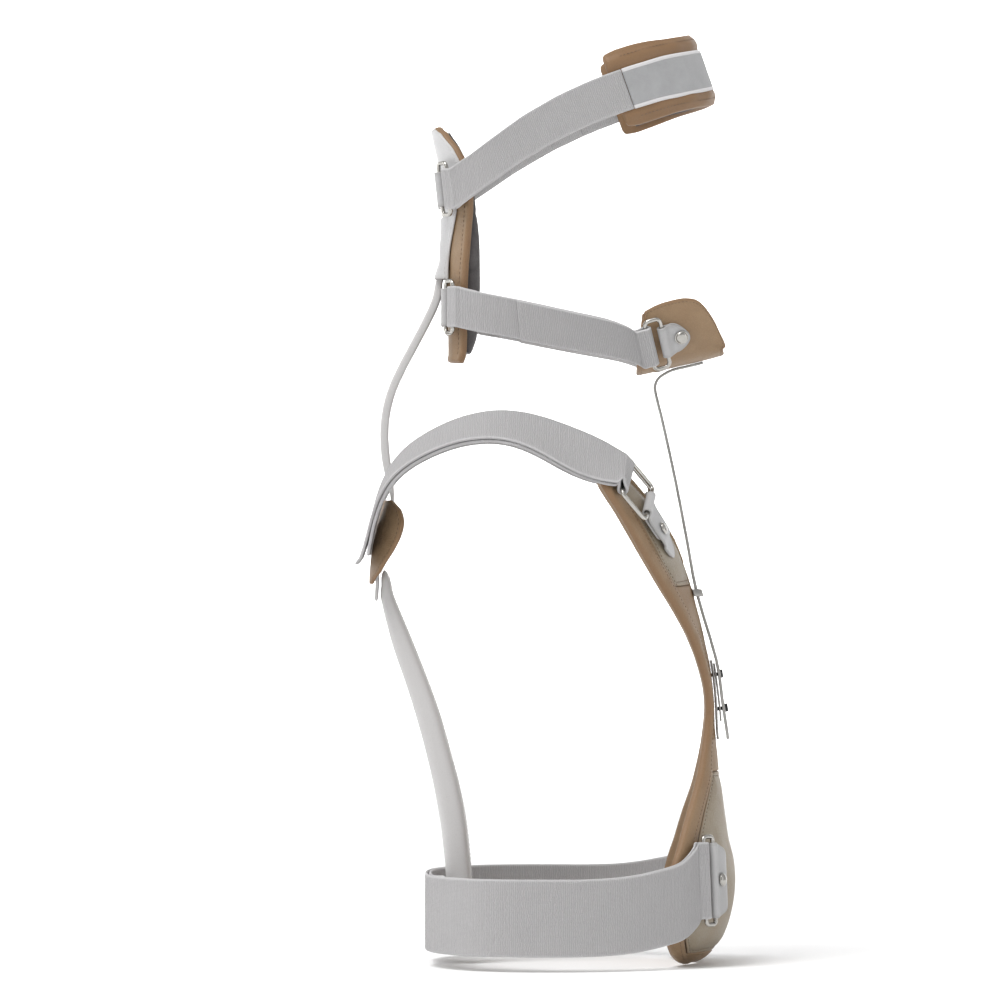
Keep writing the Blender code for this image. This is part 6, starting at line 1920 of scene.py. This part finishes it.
def make_stage():
    """Floor and backdrop, soft lamps and the camera."""
    stage = bpy.context.scene.brace_stage
    make_floor(stage.floor)
    for name, place, width, height, strength in LAMPS:
        way = Vector(BRACE_MIDDLE) - Vector(place)
        hang_soft_lamp(name, place, way, width, height, strength)
    overhead = hang_lamp("lamp_overhead", "SUN", (0, 0, 0), (0.34, 0.42, -0.84), 1.7)
    overhead.angle = math.radians(28)
    hang_soft_lamp("lamp_wall", (0.0, WALL_PLACE - 4.1, 3.0), (0.0, 4.1, -2.6), 6.0, 1.6, 330.0)
    world = bpy.data.worlds.new("studio")
    world.use_nodes = True
    background = world.node_tree.nodes["Background"].inputs
    background["Color"].default_value = (1, 1, 1, 1)
    background["Strength"].default_value = 0.55 * stage.brightness
    bpy.context.scene.world = world
    bpy.context.scene.view_settings.view_transform = "Standard"

    lens = bpy.data.cameras.new("camera")
    lens.sensor_width = SENSOR_WIDTH
    lens.lens = SENSOR_WIDTH * FOCAL_PIXELS / FRAME_PIXELS * stage.distance / FOCAL_DISTANCE
    camera = bpy.data.objects.new("camera", lens)
    camera.location = (VIEW_X, -stage.distance, VIEW_Z)
    camera.rotation_euler = (math.pi / 2, 0, 0)
    bpy.context.scene.collection.objects.link(camera)
    bpy.context.scene.camera = camera


# Operators and panel


class AddBraceStage(bpy.types.Operator):
    """Add the floor, the lamps and the camera"""

    bl_idname = "brace.stage"
    bl_label = "Stage"

    def execute(self, context):
        make_stage()
        return {"FINISHED"}


class AddBraceNeckBar(bpy.types.Operator):
    """Add the white bar between the occipital plate and the back plate"""

    bl_idname = "brace.neck_bar"
    bl_label = "Neck Bar"

    def execute(self, context):
        make_neck_bar()
        return {"FINISHED"}


class AddBraceFrontPlate(bpy.types.Operator):
    """Add the padded front plate with its rims and seams"""

    bl_idname = "brace.front_plate"
    bl_label = "Front Plate"

    def execute(self, context):
        make_front_plate()
        return {"FINISHED"}


class AddBracePanels(bpy.types.Operator):
    """Add the padded panels sunk into the front plate"""

    bl_idname = "brace.panels"
    bl_label = "Panels"

    def execute(self, context):
        make_panels()
        return {"FINISHED"}


class AddBraceOcciput(bpy.types.Operator):
    """Add the occipital plate and its dark pad"""

    bl_idname = "brace.occiput"
    bl_label = "Occipital Plate"

    def execute(self, context):
        make_occiput()
        return {"FINISHED"}


class AddBraceCover(bpy.types.Operator):
    """Add the white leather cover behind the occipital plate"""

    bl_idname = "brace.cover"
    bl_label = "Nape Cover"

    def execute(self, context):
        make_cover()
        return {"FINISHED"}


class AddBraceChinSupport(bpy.types.Operator):
    """Add the leather chin support"""

    bl_idname = "brace.chin_support"
    bl_label = "Chin Support"

    def execute(self, context):
        make_chin_support()
        return {"FINISHED"}


class AddBraceChinBar(bpy.types.Operator):
    """Add the steel chin bar with its clamp, guide and bolts"""

    bl_idname = "brace.chin_bar"
    bl_label = "Chin Bar"

    def execute(self, context):
        make_chin_bar()
        return {"FINISHED"}


class AddBraceBackPlate(bpy.types.Operator):
    """Add the leather back plate"""

    bl_idname = "brace.back_plate"
    bl_label = "Back Plate"

    def execute(self, context):
        make_back_plate()
        return {"FINISHED"}


class AddBraceBackBar(bpy.types.Operator):
    """Add the padded back bar and the strap's seat"""

    bl_idname = "brace.back_bar"
    bl_label = "Back Bar"

    def execute(self, context):
        make_back_bar()
        return {"FINISHED"}


class AddBraceStraps(bpy.types.Operator):
    """Add the ribbed elastic straps"""

    bl_idname = "brace.straps"
    bl_label = "Straps"

    def execute(self, context):
        make_straps()
        return {"FINISHED"}


class AddBraceRings(bpy.types.Operator):
    """Add the nickel wire rings"""

    bl_idname = "brace.rings"
    bl_label = "Rings"

    def execute(self, context):
        make_rings()
        return {"FINISHED"}


class AddBraceTabs(bpy.types.Operator):
    """Add the folded leather tabs"""

    bl_idname = "brace.tabs"
    bl_label = "Tabs"

    def execute(self, context):
        make_tabs()
        return {"FINISHED"}


class AddBraceRivets(bpy.types.Operator):
    """Add the domed rivets"""

    bl_idname = "brace.rivets"
    bl_label = "Rivets"

    def execute(self, context):
        make_rivets()
        return {"FINISHED"}


class AddBraceForehead(bpy.types.Operator):
    """Add the forehead band, its pad and its lining"""

    bl_idname = "brace.forehead"
    bl_label = "Forehead Band"

    def execute(self, context):
        make_forehead()
        return {"FINISHED"}


STEPS = (AddBraceStage, AddBraceNeckBar, AddBraceFrontPlate, AddBracePanels,
         AddBraceOcciput, AddBraceCover, AddBraceChinSupport, AddBraceChinBar,
         AddBraceBackPlate, AddBraceBackBar, AddBraceStraps, AddBraceRings,
         AddBraceTabs, AddBraceRivets, AddBraceForehead)


class BracePanel(bpy.types.Panel):
    """Sizes, colours and steps of the brace"""

    bl_idname = "VIEW3D_PT_brace"
    bl_label = "Spinal Brace"
    bl_space_type = "VIEW_3D"
    bl_region_type = "UI"
    bl_category = "Brace"

    def draw(self, context):
        for group in (context.scene.brace_colours, context.scene.brace_sewing,
                      context.scene.brace_stage):
            column = self.layout.column()
            for name in group.__annotations__:
                column.prop(group, name)
        for step in STEPS:
            self.layout.operator(step.bl_idname)


GROUPS = {"brace_colours": BraceColours, "brace_sewing": BraceSewing, "brace_stage": BraceStage}


def register():
    for group in GROUPS.values():
        bpy.utils.register_class(group)
    for name, group in GROUPS.items():
        setattr(bpy.types.Scene, name, bpy.props.PointerProperty(type=group))
    for step in STEPS + (BracePanel,):
        bpy.utils.register_class(step)


def unregister():
    for step in reversed(STEPS + (BracePanel,)):
        bpy.utils.unregister_class(step)
    for name, group in GROUPS.items():
        delattr(bpy.types.Scene, name)
        bpy.utils.unregister_class(group)


def main():
    """Build the brace step by step."""
    register()
    for step in STEPS:
        group, name = step.bl_idname.split(".")
        getattr(getattr(bpy.ops, group), name)()
    start_afresh()


if __name__ == "__main__":
    main()
